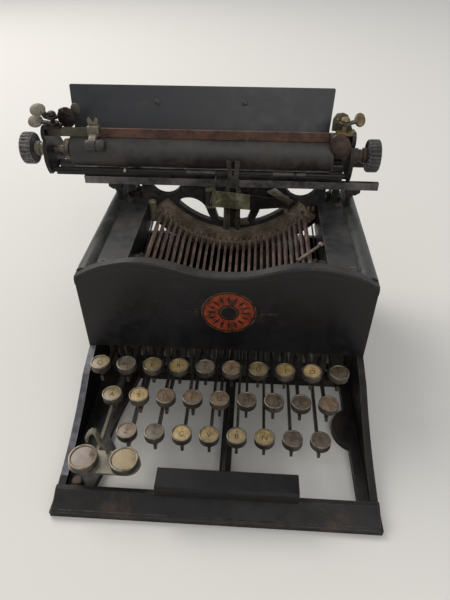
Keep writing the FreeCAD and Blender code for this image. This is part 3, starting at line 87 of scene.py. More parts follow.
def blended(tree, factor, a, b):
    """Colour a, or b where the factor is 1."""
    mix = node(tree, "Mix", {"data_type": "RGBA"}, _0=factor, _6=a, _7=b)
    return mix.outputs[2]


def spread(tree, value, low, high, to_low=0.0, to_high=1.0):
    mapped = node(tree, "MapRange", {"interpolation_type": "SMOOTHSTEP"}, Value=value,
                  From_Min=low, From_Max=high, To_Min=to_low, To_Max=to_high)
    return mapped.outputs[0]


def build_mottle():
    """Two colours mixed in soft clouds with finer clouds inside them."""
    tree, given, out = shader_group(
        "mottle", [("Vector", "Vector", (0, 0, 0)), ("Scale", "Float", 60.0),
                   ("Dark", "Color", tone(20, 20, 20)), ("Light", "Color", tone(60, 60, 60))],
        [("Colour", "Color"), ("Cloud", "Float")])
    coarse = node(tree, "TexNoise", {}, Vector=given["Vector"], Scale=given["Scale"],
                  Detail=4.0, Roughness=0.6)
    fine_scale = math_node(tree, "MULTIPLY", given["Scale"], 7.0)
    fine = node(tree, "TexNoise", {}, Vector=given["Vector"], Scale=fine_scale, Detail=3.0)
    both = math_node(tree, "MULTIPLY_ADD", fine.outputs[0], 0.35)
    tree.links.new(math_node(tree, "MULTIPLY", coarse.outputs[0], 0.65),
                   both.node.inputs[2])
    cloud = spread(tree, both, 0.36, 0.66)
    tree.links.new(blended(tree, cloud, given["Dark"], given["Light"]), out["Colour"])
    tree.links.new(cloud, out["Cloud"])
    return tree


def build_edge_wear():
    """A mask along rounded and sharp edges, broken up so that it looks rubbed."""
    tree, given, out = shader_group(
        "edge_wear", [("Vector", "Vector", (0, 0, 0)), ("Width", "Float", 0.0008),
                      ("Amount", "Float", 0.5)], [("Mask", "Float")])
    rounded = node(tree, "Bevel", {"samples": 4}, Radius=given["Width"])
    flat = node(tree, "NewGeometry")
    turn = node(tree, "VectorMath", {"operation": "DOT_PRODUCT"}, _0=rounded.outputs[0],
                _1=flat.outputs["Normal"])
    edge = math_node(tree, "SUBTRACT", 1.0, turn.outputs["Value"], True)
    edge = math_node(tree, "MULTIPLY", edge, 9.0, True)
    grit = node(tree, "TexNoise", {}, Vector=given["Vector"], Scale=240.0, Detail=5.0,
                Roughness=0.7)
    broken = spread(tree, grit.outputs[0], 0.38, 0.62)
    rubbed = math_node(tree, "MULTIPLY", edge, broken)
    tree.links.new(math_node(tree, "MULTIPLY", rubbed, given["Amount"], True), out["Mask"])
    return tree


def build_patches():
    """Ragged patches of rust, dirt or missing paint. More amount gives more of them."""
    tree, given, out = shader_group(
        "patches", [("Vector", "Vector", (0, 0, 0)), ("Scale", "Float", 40.0),
                    ("Amount", "Float", 0.3)], [("Mask", "Float")])
    warp = node(tree, "TexNoise", {}, Vector=given["Vector"], Scale=given["Scale"], Detail=8.0,
                Roughness=0.72, Distortion=0.6)
    low = math_node(tree, "SUBTRACT", 0.68, math_node(tree, "MULTIPLY", given["Amount"], 0.3))
    high = math_node(tree, "ADD", low, 0.16)
    tree.links.new(spread(tree, warp.outputs[0], low, high), out["Mask"])
    return tree


def build_settled_dust():
    """A mask on faces that look up, in uneven drifts."""
    tree, given, out = shader_group(
        "settled_dust", [("Vector", "Vector", (0, 0, 0)), ("Amount", "Float", 0.3)],
        [("Mask", "Float")])
    facing = node(tree, "NewGeometry")
    split = node(tree, "SeparateXYZ", {}, Vector=facing.outputs["Normal"])
    upward = spread(tree, split.outputs["Z"], 0.35, 1.0)
    drift = node(tree, "TexNoise", {}, Vector=given["Vector"], Scale=45.0, Detail=6.0,
                 Roughness=0.65)
    drifts = spread(tree, drift.outputs[0], 0.3, 0.7)
    both = math_node(tree, "MULTIPLY", upward, drifts)
    tree.links.new(math_node(tree, "MULTIPLY", both, given["Amount"], True), out["Mask"])
    return tree


def build_cast_grain():
    """A fine height for cast, brushed or moulded surfaces."""
    tree, given, out = shader_group(
        "cast_grain", [("Vector", "Vector", (0, 0, 0)), ("Scale", "Float", 900.0)],
        [("Height", "Float")])
    pits = node(tree, "TexNoise", {}, Vector=given["Vector"], Scale=given["Scale"], Detail=3.0)
    coarse_scale = math_node(tree, "MULTIPLY", given["Scale"], 0.12)
    waves = node(tree, "TexNoise", {}, Vector=given["Vector"], Scale=coarse_scale, Detail=2.0)
    tree.links.new(math_node(tree, "ADD", pits.outputs[0], waves.outputs[0]), out["Height"])
    return tree


GROUPS = {"mottle": build_mottle(), "edge_wear": build_edge_wear(), "patches": build_patches(),
          "settled_dust": build_settled_dust(), "cast_grain": build_cast_grain()}


def use(tree, group, **sockets):
    item = tree.nodes.new("ShaderNodeGroup")
    item.node_tree = GROUPS[group]
    for name, value in sockets.items():
        if isinstance(value, bpy.types.NodeSocket):
            tree.links.new(value, item.inputs[name])
        else:
            item.inputs[name].default_value = value
    return item.outputs


# ---------------------------------------------------------------- finishes

RUST = tone(84, 54, 38)
BARE_IRON = tone(112, 102, 88)
DUST = tone(118, 112, 102)


def finish(name, dark, light, scale=60.0, patch=(RUST, 0.25, 45.0), edge=(BARE_IRON, 0.5, 0.8),
           dust=0.2, rough=(0.35, 0.6), metal=0.0, grain=(900.0, 0.05), coat=0.0, gloss=0.5):
    """A worn finish: mottled ground, patches, rubbed edges, settled dust and fine grain.

    A patch is (colour, amount, scale), an edge (colour, amount, width in millimetres), rough
    (clean, worn) and a grain (scale, depth in millimetres).
    """
    patch_colour, patch_amount, patch_scale = patch
    edge_colour, edge_amount, edge_width = edge
    grain_scale, grain_depth = grain
    material = bpy.data.materials.new(name)
    material.use_nodes = True
    tree = material.node_tree
    shader = tree.nodes["Principled BSDF"]
    place = node(tree, "TexCoord").outputs["Object"]
    ground = use(tree, "mottle", Vector=place, Scale=scale, Dark=dark, Light=light)
    patches = use(tree, "patches", Vector=place, Scale=patch_scale,
                  Amount=patch_amount)["Mask"]
    rubbed = use(tree, "edge_wear", Vector=place, Width=edge_width * MM,
                 Amount=edge_amount)["Mask"]
    dusty = use(tree, "settled_dust", Vector=place, Amount=dust)["Mask"]
    colour = blended(tree, patches, ground["Colour"], patch_colour)
    colour = blended(tree, rubbed, colour, edge_colour)
    colour = blended(tree, dusty, colour, DUST)
    tree.links.new(colour, shader.inputs["Base Color"])
    matt = math_node(tree, "MAXIMUM", patches, dusty)
    shine = math_node(tree, "MAXIMUM", ground["Cloud"], matt)
    tree.links.new(spread(tree, shine, 0.0, 1.0, rough[0], rough[1]), shader.inputs["Roughness"])
    if metal:
        clean = math_node(tree, "SUBTRACT", 1.0, matt, True)
        tree.links.new(math_node(tree, "MULTIPLY", clean, metal), shader.inputs["Metallic"])
    else:
        bare = math_node(tree, "MULTIPLY", rubbed, 0.7)
        tree.links.new(bare, shader.inputs["Metallic"])
    shader.inputs["Coat Weight"].default_value = coat
    shader.inputs["Coat Roughness"].default_value = 0.3
    shader.inputs["Specular IOR Level"].default_value = gloss
    height = use(tree, "cast_grain", Vector=place, Scale=grain_scale)["Height"]
    height = math_node(tree, "SUBTRACT", height, patches)
    bump = node(tree, "Bump", {}, Strength=0.6, Distance=grain_depth * MM,
                Height=height)
    tree.links.new(bump.outputs[0], shader.inputs["Normal"])
    return material


JAPAN = finish("black_japan", tone(13, 12, 12), tone(29, 26, 25), 24.0,
               (tone(62, 46, 38), 0.5, 18.0), (tone(104, 96, 86), 0.6, 1.0), 0.05, (0.36, 0.6),
               grain=(700.0, 0.08), gloss=0.25)
PANEL_JAPAN = finish("panel_japan", tone(12, 10, 11), tone(24, 21, 22), 20.0,
                     (tone(46, 35, 29), 0.3, 18.0), (tone(92, 78, 64), 0.6, 1.1), 0.14,
                     (0.34, 0.58), grain=(600.0, 0.1), coat=0.1, gloss=0.3)
# a lighter copy of the black japan: a painted highlight on rims and rivet heads
HIGHLIGHT_JAPAN = finish("japan_painted_highlight", tone(24, 25, 24), tone(50, 51, 48), 34.0,
                   (tone(78, 80, 72), 0.3, 26.0), (tone(128, 124, 114), 0.7, 1.2), 0.1,
                   (0.3, 0.55), grain=(600.0, 0.1), coat=0.1, gloss=0.4)
SLATE = finish("slate_deck", tone(21, 21, 22), tone(40, 39, 39), 22.0,
               (tone(62, 52, 44), 0.28, 28.0), (tone(138, 132, 118), 0.8, 1.0), 0.1,
               (0.38, 0.6), grain=(700.0, 0.08), gloss=0.4)
ARCH_IRON = finish("arch_iron", tone(19, 18, 18), tone(38, 35, 33), 40.0,
                   (tone(62, 50, 40), 0.35, 45.0), (tone(92, 84, 72), 0.6, 0.8), 0.15,
                   (0.4, 0.7), gloss=0.35)
CARRIAGE_BLACK = finish("carriage_black", tone(15, 13, 13), tone(34, 30, 28), 46.0,
                        (tone(64, 47, 38), 0.36, 50.0), (tone(100, 88, 74), 0.7, 0.7), 0.1,
                        (0.36, 0.6), gloss=0.27)
LEVER_BROWN = finish("lever_brown", tone(22, 16, 14), tone(46, 35, 30), 60.0,
                     (tone(70, 50, 38), 0.36, 60.0), (tone(112, 96, 80), 0.6, 0.5), 0.06,
                     (0.36, 0.6), gloss=0.3)
RAIL_STEEL = finish("rail_steel", tone(70, 67, 66), tone(116, 111, 108), 30.0,
                    (tone(70, 54, 44), 0.34, 34.0), (tone(160, 154, 146), 0.7, 0.7), 0.08,
                    (0.36, 0.58), metal=0.6)
SEGMENT_IRON = finish("segment_iron", tone(84, 73, 61), tone(132, 117, 100), 60.0,
                      (tone(76, 54, 40), 0.45, 60.0), (tone(150, 136, 114), 0.7, 0.5), 0.2,
                      (0.4, 0.65), metal=0.3)
OLD_BRASS = finish("old_brass", tone(92, 80, 56), tone(138, 122, 88), 70.0,
                   (tone(72, 52, 38), 0.4, 70.0), (tone(176, 160, 122), 0.6, 0.5), 0.1,
                   (0.35, 0.6), metal=0.85)
BAR_STEEL = finish("type_bar_steel", tone(80, 65, 57), tone(130, 108, 96), 70.0,
                   (tone(80, 54, 42), 0.45, 70.0), (tone(164, 150, 136), 0.7, 0.5), 0.08,
                   (0.4, 0.65), metal=0.4)
LEVER_STEEL = finish("lever_steel", tone(88, 80, 70), tone(138, 129, 115), 50.0,
                     (tone(84, 60, 44), 0.4, 70.0), (tone(180, 170, 152), 0.6, 0.4), 0.08,
                     (0.34, 0.58), metal=0.8)
KEY_LEVER = finish("key_lever", tone(58, 52, 46), tone(98, 90, 79), 50.0,
                   (tone(60, 46, 36), 0.4, 70.0), (tone(156, 146, 128), 0.8, 0.4), 0.1,
                   (0.36, 0.6), metal=0.7)
WORK_STEEL = finish("work_steel", tone(50, 47, 44), tone(90, 84, 77), 60.0,
                    (tone(74, 52, 40), 0.38, 50.0), (tone(146, 136, 120), 0.6, 0.6), 0.18,
                    (0.38, 0.62), metal=0.7)
NICKEL = finish("dull_nickel", tone(112, 107, 97), tone(160, 154, 141), 120.0,
                (tone(90, 78, 62), 0.35, 160.0), (tone(200, 194, 178), 0.5, 0.3), 0.08,
                (0.3, 0.5), metal=0.85, grain=(1600.0, 0.02))
RING_NICKEL = finish("ring_nickel", tone(84, 76, 64), tone(142, 132, 114), 140.0,
                     (tone(70, 54, 40), 0.45, 150.0), (tone(196, 186, 164), 0.7, 0.35), 0.05,
                     (0.3, 0.5), metal=0.85, grain=(1600.0, 0.02))
KHAKI_PLATE = finish("khaki_plate", tone(100, 95, 82), tone(138, 131, 114), 60.0,
                     (tone(74, 60, 44), 0.35, 60.0), (tone(166, 156, 134), 0.6, 0.5), 0.12,
                     (0.38, 0.58), metal=0.7)
INK_PLATE = finish("ink_plate", tone(112, 110, 84), tone(168, 164, 132), 60.0,
                   (tone(60, 54, 42), 0.35, 60.0), (tone(184, 180, 156), 0.8, 0.5), 0.1,
                   (0.3, 0.55), metal=0.75)
SPACE_BLACK = finish("space_bar_black", tone(9, 8, 9), tone(19, 17, 17), 36.0,
                     (tone(34, 29, 26), 0.24, 50.0), (tone(84, 78, 72), 0.5, 0.5), 0.03,
                     (0.36, 0.56), gloss=0.2)
RUBBER = finish("hard_rubber", tone(38, 34, 32), tone(62, 57, 52), 30.0,
                (tone(72, 60, 50), 0.3, 40.0), (tone(92, 84, 76), 0.4, 0.6), 0.18,
                (0.42, 0.65), grain=(500.0, 0.05), gloss=0.45)
WORN_EBONITE = finish("worn_ebonite", tone(42, 42, 41), tone(76, 75, 73), 60.0,
                      (tone(104, 98, 88), 0.3, 90.0), (tone(170, 168, 162), 1.0, 1.3), 0.12,
                      (0.45, 0.7), gloss=0.4)
KNOB_EBONITE = finish("knob_ebonite", tone(30, 29, 29), tone(58, 56, 54), 60.0,
                      (tone(84, 76, 66), 0.3, 90.0), (tone(150, 147, 140), 1.0, 1.0), 0.1,
                      (0.45, 0.7), gloss=0.4)
RUST_SCALE = finish("rusty_scale", tone(58, 39, 33), tone(96, 68, 55), 80.0,
                    (tone(48, 34, 30), 0.4, 70.0), (tone(122, 90, 74), 0.5, 0.4), 0.1,
                    (0.5, 0.75), gloss=0.35)
TABLE_STEEL = finish("table_japan", tone(20, 21, 23), tone(39, 39, 41), 14.0,
                     (tone(60, 50, 43), 0.26, 22.0), (tone(112, 102, 86), 0.7, 0.9), 0.14,
                     (0.3, 0.5), coat=0.1, gloss=0.45)
FELT = finish("inked_felt", tone(30, 26, 25), tone(52, 44, 40), 200.0,
              (tone(20, 18, 18), 0.4, 90.0), (tone(70, 60, 54), 0.2, 0.5), 0.1, (0.8, 0.95),
              grain=(2500.0, 0.12))
LEGEND_INK = finish("legend_ink", tone(38, 26, 17), tone(62, 42, 27), 400.0,
                    (tone(100, 78, 46), 0.3, 500.0), (tone(60, 44, 30), 0.1, 0.1), 0.0,
                    (0.5, 0.7))
VERMILION = finish("worn_vermilion", tone(96, 36, 18), tone(150, 62, 32), 90.0,
                   (tone(44, 25, 18), 0.62, 110.0), (tone(104, 56, 36), 0.1, 0.2), 0.02,
                   (0.45, 0.65), gloss=0.25)
OLD_GOLD = finish("old_gold", tone(74, 56, 30), tone(108, 84, 46), 110.0,
                  (tone(26, 22, 20), 0.8, 120.0), (tone(96, 76, 44), 0.1, 0.2), 0.03,
                  (0.4, 0.6), gloss=0.3)
# a lighter bluish grey copy of the black japan: a painted reflection on the left cheek
CHEEK_PAINTED_REFLECTION = finish("cheek_painted_reflection", tone(58, 58, 61), tone(118, 118, 122), 30.0,
                     (tone(30, 28, 28), 0.4, 34.0), (tone(150, 148, 144), 0.8, 1.0), 0.1,
                     (0.3, 0.5), coat=0.1, gloss=0.4)
LEVER_KHAKI = finish("lever_khaki", tone(88, 83, 70), tone(124, 117, 100), 90.0,
                     (tone(66, 60, 48), 0.35, 80.0), (tone(150, 143, 124), 0.6, 0.6), 0.06,
                     (0.4, 0.6), metal=0.35)
DARK_OLIVE = finish("dark_olive", tone(56, 54, 42), tone(92, 88, 70), 80.0,
                    (tone(44, 38, 30), 0.4, 70.0), (tone(120, 114, 94), 0.5, 0.5), 0.08,
                    (0.4, 0.6), metal=0.4)
BROWN_CAST = finish("brown_casting", tone(44, 32, 27), tone(78, 58, 47), 70.0,
                    (tone(30, 24, 22), 0.4, 60.0), (tone(106, 88, 72), 0.5, 0.6), 0.08,
                    (0.45, 0.7), gloss=0.35)
# a darker copy of the lever steel: painted shade on the levers under the casing
SHADED_LEVER_STEEL = finish("lever_steel_painted_shade", tone(28, 25, 23), tone(54, 49, 44), 60.0,
                     (tone(48, 36, 30), 0.4, 60.0), (tone(96, 88, 76), 0.5, 0.4), 0.04,
                     (0.4, 0.65), metal=0.4)
LEGEND_TONES = {
    "yellow": (tone(114, 98, 64), tone(148, 129, 88)),
    "bright": (tone(150, 126, 80), tone(184, 158, 106)),
    "gold": (tone(114, 95, 54), tone(150, 126, 78)),
    "olive": (tone(92, 78, 46), tone(126, 108, 70)),
    "brown": (tone(86, 68, 48), tone(120, 98, 75)),
    "grey": (tone(78, 69, 55), tone(110, 97, 81)),
    "dark": (tone(56, 46, 35), tone(88, 74, 58)),
    "tan": (tone(102, 84, 61), tone(140, 116, 90))}
LEGENDS = {word: finish("legend_" + word, pair[0], pair[1], 180.0,
                        (tone(100, 74, 44), 0.28, 200.0), (tone(84, 66, 42), 0.3, 0.3), 0.03,
                        (0.25, 0.5), coat=0.3, grain=(1800.0, 0.01))
           for word, pair in LEGEND_TONES.items()}

CAD_FINISHES = {
    "base_frame": JAPAN, "body_casing": PANEL_JAPAN, "deck_plates": SLATE,
    "arch_frame": ARCH_IRON, "typebar_segment": SEGMENT_IRON, "type_bars": BAR_STEEL,
    "type_bar_left": BAR_STEEL, "type_bar_right": BAR_STEEL, "type_bar_rest": WORK_STEEL,
    "type_guide": WORK_STEEL, "fulcrum_rod": LEVER_STEEL, "key_comb": WORK_STEEL,
    "space_bar": SPACE_BLACK, "universal_bar": WORK_STEEL, "shift_key_plate": KHAKI_PLATE,
    "shift_frame": CARRIAGE_BLACK, "carriage_rails": CARRIAGE_BLACK,
    "carriage_frame": CARRIAGE_BLACK, "feed_roller": RUBBER, "paper_table": TABLE_STEEL,
    "line_scale": RUST_SCALE, "mainspring_drum": WORK_STEEL, "escapement_wheel": OLD_BRASS,
    "bell": NICKEL, "bell_clapper": WORK_STEEL, "ink_arm": CARRIAGE_BLACK,
    "ink_roller": FELT, "frame_screws": WORK_STEEL}
for cad_name, cad_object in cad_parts.items():
    cad_object.data.materials.clear()
    cad_object.data.materials.append(CAD_FINISHES.get(cad_name, KEY_LEVER))


def repaint(name, material, inside):
    """Gives another finish to the faces of a CAD node whose middles pass the test."""
    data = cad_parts[name].data
    data.materials.append(material)
    number = len(data.materials) - 1
    for face in data.polygons:
        if inside(face.center / MM):
            face.material_index = number


ROD_Y, ROD_Z = 106.0, 136.0
# the rounded rims of the side walls, painted lighter as a highlight
repaint("body_casing", HIGHLIGHT_JAPAN, lambda at: at.z > 111.1 and abs(at.x) > 95 and at.y > -9.5)
# the inner side and top of the left cheek, painted lighter bluish grey as a reflection
repaint("base_frame", CHEEK_PAINTED_REFLECTION,
        lambda at: -108.2 < at.x < -103 and -112 < at.y < -18 and at.z > 9)
# the front rail's face
repaint("carriage_rails", RAIL_STEEL, lambda at: at.y < 101.2 and at.x < 40)
# sleeves on the front rod, the right lever stand and the boss at the scale's right end
repaint("carriage_frame", WORK_STEEL,
        lambda at: at.x > -60 and 2.5 < math.hypot(at.y - ROD_Y, at.z - ROD_Z) < 3.0)
repaint("carriage_frame", OLD_BRASS, lambda at: at.z > 171.2 and at.y < 115 and at.x > 0)
repaint("carriage_frame", RUST_SCALE,
        lambda at: at.x > 82 and 105.9 < at.y < 110.1 and 159 < at.z < 170.5)
# the broad left end of the inking arm
repaint("ink_arm", INK_PLATE, lambda at: at.x < 13)
# everything of the shift key but its plate
repaint("shift_key_plate", KEY_LEVER, lambda at: at.y > -97 or at.z < 22.5)
# the key levers behind the panel, darkened as painted shade under the casing
for cad_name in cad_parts:
    if cad_name.startswith("key_") and cad_name[-2:].isdigit():
        repaint(cad_name, SHADED_LEVER_STEEL, lambda at: at.y > -14)


# ---------------------------------------------------------------- mesh tools

def lathe(points, centre, axis="z", steps=40):
    """A closed ring of (radius, height) points spun about an axis through the centre."""
    mesh = bmesh.new()
    verts = [mesh.verts.new((radius, 0, height)) for radius, height in points]
    edges = [mesh.edges.new((verts[i], verts[(i + 1) % len(verts)])) for i in range(len(verts))]
    bmesh.ops.spin(mesh, geom=verts + edges, cent=(0, 0, 0), axis=(0, 0, 1), dvec=(0, 0, 0),
                   angle=math.tau, steps=steps, use_merge=True)
    bmesh.ops.remove_doubles(mesh, verts=mesh.verts, dist=1e-4)
    return placed(mesh, centre, axis)


def placed(mesh, centre, axis="z"):
    """Turns a shape made along Z to the axis, moves it, and points its faces outwards."""
    turn = Vector((0, 0, 1)).rotation_difference(AXES[axis]).to_matrix().to_4x4()
    mesh.transform(Matrix.Translation(centre) @ turn)
    bmesh.ops.recalc_face_normals(mesh, faces=mesh.faces)
    return mesh


def prism(outline, depth, bevel=0.0):
    """A flat outline in XY pushed up by depth, with its edges rounded a little."""
    mesh = bmesh.new()
    face = mesh.faces.new([mesh.verts.new((x, y, 0)) for x, y in outline])
    grown = bmesh.ops.extrude_face_region(mesh, geom=[face])
    lifted = [item for item in grown["geom"] if isinstance(item, bmesh.types.BMVert)]
    bmesh.ops.translate(mesh, verts=lifted, vec=(0, 0, depth))
    bmesh.ops.recalc_face_normals(mesh, faces=mesh.faces)
    if bevel:
        bmesh.ops.bevel(mesh, geom=mesh.edges[:], offset=bevel, segments=2, profile=0.5,
                        affect="EDGES", material=-1, clamp_overlap=True)
    return mesh


PLANES = {"xz": Matrix(((1, 0, 0), (0, 0, -1), (0, 1, 0))),
          "yz": Matrix(((0, 0, 1), (1, 0, 0), (0, 1, 0)))}


def plate(outline, plane, start, depth, bevel=0.3):
    """An outline in XZ that grows towards the typist, or one in YZ that grows to the right."""
    mesh = prism(outline, depth, bevel)
    mesh.transform(PLANES[plane].to_4x4())
    shift = (0, start, 0) if plane == "xz" else (start, 0, 0)
    bmesh.ops.translate(mesh, verts=mesh.verts, vec=shift)
    bmesh.ops.recalc_face_normals(mesh, faces=mesh.faces)
    return mesh


def band(path, thick):
    """The outline of a bent strip that follows a flat path."""
    points = [Vector(point) for point in path]
    left, right = [], []
    for index, point in enumerate(points):
        along = points[min(index + 1, len(points) - 1)] - points[max(index - 1, 0)]
        side = Vector((-along.y, along.x)).normalized() * thick / 2
        left.append(point + side)
        right.append(point - side)
    return left + right[::-1]


def oval(across, up, half_width, half_height, steps=24):
    """The outline of an oval about a point."""
    return [(across + half_width * math.cos(math.tau * step / steps),
             up + half_height * math.sin(math.tau * step / steps)) for step in range(steps)]


def pin(start, end, radius, tip=None, steps=14):
    """A round pin or wire between two points, tapered if it has a tip radius."""
    start, end = Vector(start), Vector(end)
    along = end - start
    mesh = bmesh.new()
    bmesh.ops.create_cone(mesh, cap_ends=True, segments=steps, radius1=radius,
                          radius2=radius if tip is None else tip, depth=along.length)
    turn = Vector((0, 0, 1)).rotation_difference(along).to_matrix().to_4x4()
    mesh.transform(Matrix.Translation((start + end) / 2) @ turn)
    return mesh


def knuckle(centre, radius, stretch=(1, 1, 1)):
    """A ball, or a smooth lump when it is stretched."""
    mesh = bmesh.new()
    bmesh.ops.create_uvsphere(mesh, u_segments=24, v_segments=14, radius=radius)
    mesh.transform(Matrix.Translation(centre) @ Matrix.Diagonal((*stretch, 1)))
    return mesh


def joined(parts):
    """One bmesh from (bmesh, material number) pairs."""
    whole = bmesh.new()
    for part, number in parts:
        for face in part.faces:
            face.material_index = number
        scratch = bpy.data.meshes.new("scratch")
        part.to_mesh(scratch)
        whole.from_mesh(scratch)
        bpy.data.meshes.remove(scratch)
        part.free()
    return whole


def piece(name, mesh, body, materials, replaces=(), sharp=35):
    """Stores a shape made in millimetres as a finished piece that rides on a body."""
    mesh.transform(Matrix.Scale(MM, 4))
    data = bpy.data.meshes.new(name)
    mesh.to_mesh(data)
    mesh.free()
    for material in materials:
        data.materials.append(material)
    data.polygons.foreach_set("use_smooth", [True] * len(data.polygons))
    data.set_sharp_from_angle(angle=math.radians(sharp))
    item = bpy.data.objects.new(name, data)
    bpy.context.scene.collection.objects.link(item)
    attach(item, body)
    if replaces:
        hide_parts(*replaces)
    return item


# ---------------------------------------------------------------- key caps

PITCH = 19.05
CUP_RADIUS, SHIFT_CUP_RADIUS, DISC_RADIUS, LIP_DEPTH = 6.9, 9.5, 5.92, 0.7
SHIFT_CAPS = (("left", -88.95, "brown"), ("right", -61.45, "gold"))
SHIFT_CAP_Y, SHIFT_CAP_TOP = -106.5, 30.0
CUP_PROFILE = [(5.9, -0.85), (5.9, -0.15), (6.12, 0.1), (6.5, 0.18), (6.88, 0.02), (7.03, -0.4),
               (7.03, -5.06), (6.75, -5.3), (3.2, -5.45), (2.0, -6.3), (1.58, -6.3),
               (1.58, -5.02), (5.0, -5.02), (5.9, -4.6)]
KEY_ROWS = (
    ("top", -2.6, -46.5, 58.1, "QWERTYUIOP", "1234567890",
     "yellow grey olive gold grey brown olive gold bright dark"),
    ("middle", -0.7, -65.0, 46.2, "ASDFGHJKL", "246813579",
     "yellow bright brown brown brown dark dark dark brown"),
    ("bottom", 3.0, -86.0, 33.0, "ZXCVBNM8", "31579246",
     "tan grey bright gold yellow gold dark dark"))


def letter(text, size, x, y, z):
    """A flat letter, centred on x and just below y, lying at height z."""
    curve = bpy.data.curves.new("glyph", "FONT")
    curve.body = text
    curve.size = size
    curve.align_x = "CENTER"
    curve.align_y = "CENTER"
    curve.extrude = 0.02
    curve.resolution_u = 3
    holder = bpy.data.objects.new("glyph", curve)
    flat = bpy.data.meshes.new_from_object(holder)
    mesh = bmesh.new()
    mesh.from_mesh(flat)
    bmesh.ops.remove_doubles(mesh, verts=mesh.verts, dist=1e-4)
    bmesh.ops.translate(mesh, verts=mesh.verts, vec=(x, y, z))
    bpy.data.objects.remove(holder)
    bpy.data.curves.remove(curve)
    bpy.data.meshes.remove(flat)
    return mesh


def key_cap(name, x, y, top, body, word, large, small, grow=1.0):
    """A cup with its bright rolled lip and sides darkened as painted shade, the domed legend disc
    and its characters.
    """
    ring = lathe([(radius * grow if radius > 3 else radius, height)
                  for radius, height in CUP_PROFILE], (x, y, top))
    rim = DISC_RADIUS * grow
    face = lathe([(0, -0.42), (rim * 0.5, -0.47), (rim, -0.62), (rim, -1.1), (0, -1.1)],
                 (x, y, top))
    parts = [(ring, 0), (face, 1)]
    if large:
        parts.append((letter(large, 5.6, x, y - 0.8, top - 0.39), 2))
        parts.append((letter(small, 2.8, x, y + 3.2, top - 0.45), 2))
    cap = joined(parts)
    # painted shade: the cup's sides below the lip take the darker lever steel
    for face in cap.faces:
        if face.material_index == 0 and face.calc_center_median().z < top - LIP_DEPTH:
            face.material_index = 3
    return piece(name, cap, body, [RING_NICKEL, LEGENDS[word], LEGEND_INK, KEY_LEVER])


def key_caps():
    for row, shift, y, top, large, small, words in KEY_ROWS:
        words = words.split()
        for index, word in enumerate(words):
            x = shift + (index - (len(words) - 1) / 2) * PITCH
            body = "key_%s_%02d" % (row, index + 1)
            key_cap(body + "_cap", x, y, top, body, word, large[index], small[index])
    for name, x, word in SHIFT_CAPS:
        key_cap("shift_cap_" + name, x, SHIFT_CAP_Y, SHIFT_CAP_TOP, "shift_key_plate", word, "",
                "", SHIFT_CUP_RADIUS / CUP_RADIUS)


# ---------------------------------------------------------------- platen

PLATEN_Y, PLATEN_Z = 117.0, 150.0
PLATEN_LEFT, PLATEN_LENGTH, PLATEN_RADIUS, SHAFT_RADIUS = -139.0, 222.0, 14.5, 3.0
RATCHET_LEFT, RATCHET_TEETH, RATCHET_RADIUS, RATCHET_THICKNESS = -146.0, 24, 9, 4
KNOB_LENGTH, KNOB_RADIUS, FLUTES, FLUTE_DEPTH = 10.0, 13.5, 24, 1.3
KNOB_PROFILE = [(0, 1.7), (5.4, 1.7), (6.4, 1.1), (7.8, 1.9), (10.8, 1.9), (11.8, 0.5), (12.6, 0.1),
                (13.2, 0.7), (13.5, 1.7), (13.5, 8.5), (13.2, 9.3), (12.4, 9.8), (10.5, 10.0),
                (4.6, 9.7), (4.0, 9.0), (0, 9.0)]


def knob_shape(x, side):
    """A fluted knob from its dished inner face outwards, pulled in at each flute."""
    mesh = lathe(KNOB_PROFILE, (0, 0, 0), steps=FLUTES * 6)
    for vert in mesh.verts:
        reach = math.hypot(vert.co.x, vert.co.y)
        if reach > KNOB_RADIUS - 0.8:
            share = math.atan2(vert.co.y, vert.co.x) / math.tau * FLUTES
            dip = 0.5 - 0.5 * math.cos(math.tau * share)
            pull = 1 - FLUTE_DEPTH * dip ** 2 / reach
            vert.co.x *= pull
            vert.co.y *= pull
    mesh.transform(Matrix.Diagonal((1, 1, side, 1)))
    return placed(mesh, (x, PLATEN_Y, PLATEN_Z), "x")


def tube(inner, outer, length, x, soft=0.6, steps=48):
    profile = [(inner, 0), (outer - soft, 0), (outer, soft), (outer, length - soft),
               (outer - soft, length), (inner, length)]
    return lathe(profile, (x, PLATEN_Y, PLATEN_Z), "x", steps)


def ratchet(x, radius, thickness, teeth):
    outline = []
    for index in range(teeth):
        angle = math.tau * index / teeth
        outline.append((radius * math.cos(angle), radius * math.sin(angle)))
        angle += math.tau / teeth * 0.75
        outline.append(((radius - 1.6) * math.cos(angle), (radius - 1.6) * math.sin(angle)))
    return placed(prism(outline, thickness, 0.15), (x, PLATEN_Y, PLATEN_Z), "x")


HUB_LENGTH = 12.4
HUB_PROFILE = [(3.0, 0), (5.4, 0), (6.2, 0.8), (6.2, 4.6), (5.2, 5.2), (5.2, 8.2), (6.6, 9.0),
               (6.6, 11.4), (5.6, HUB_LENGTH), (3.0, HUB_LENGTH)]


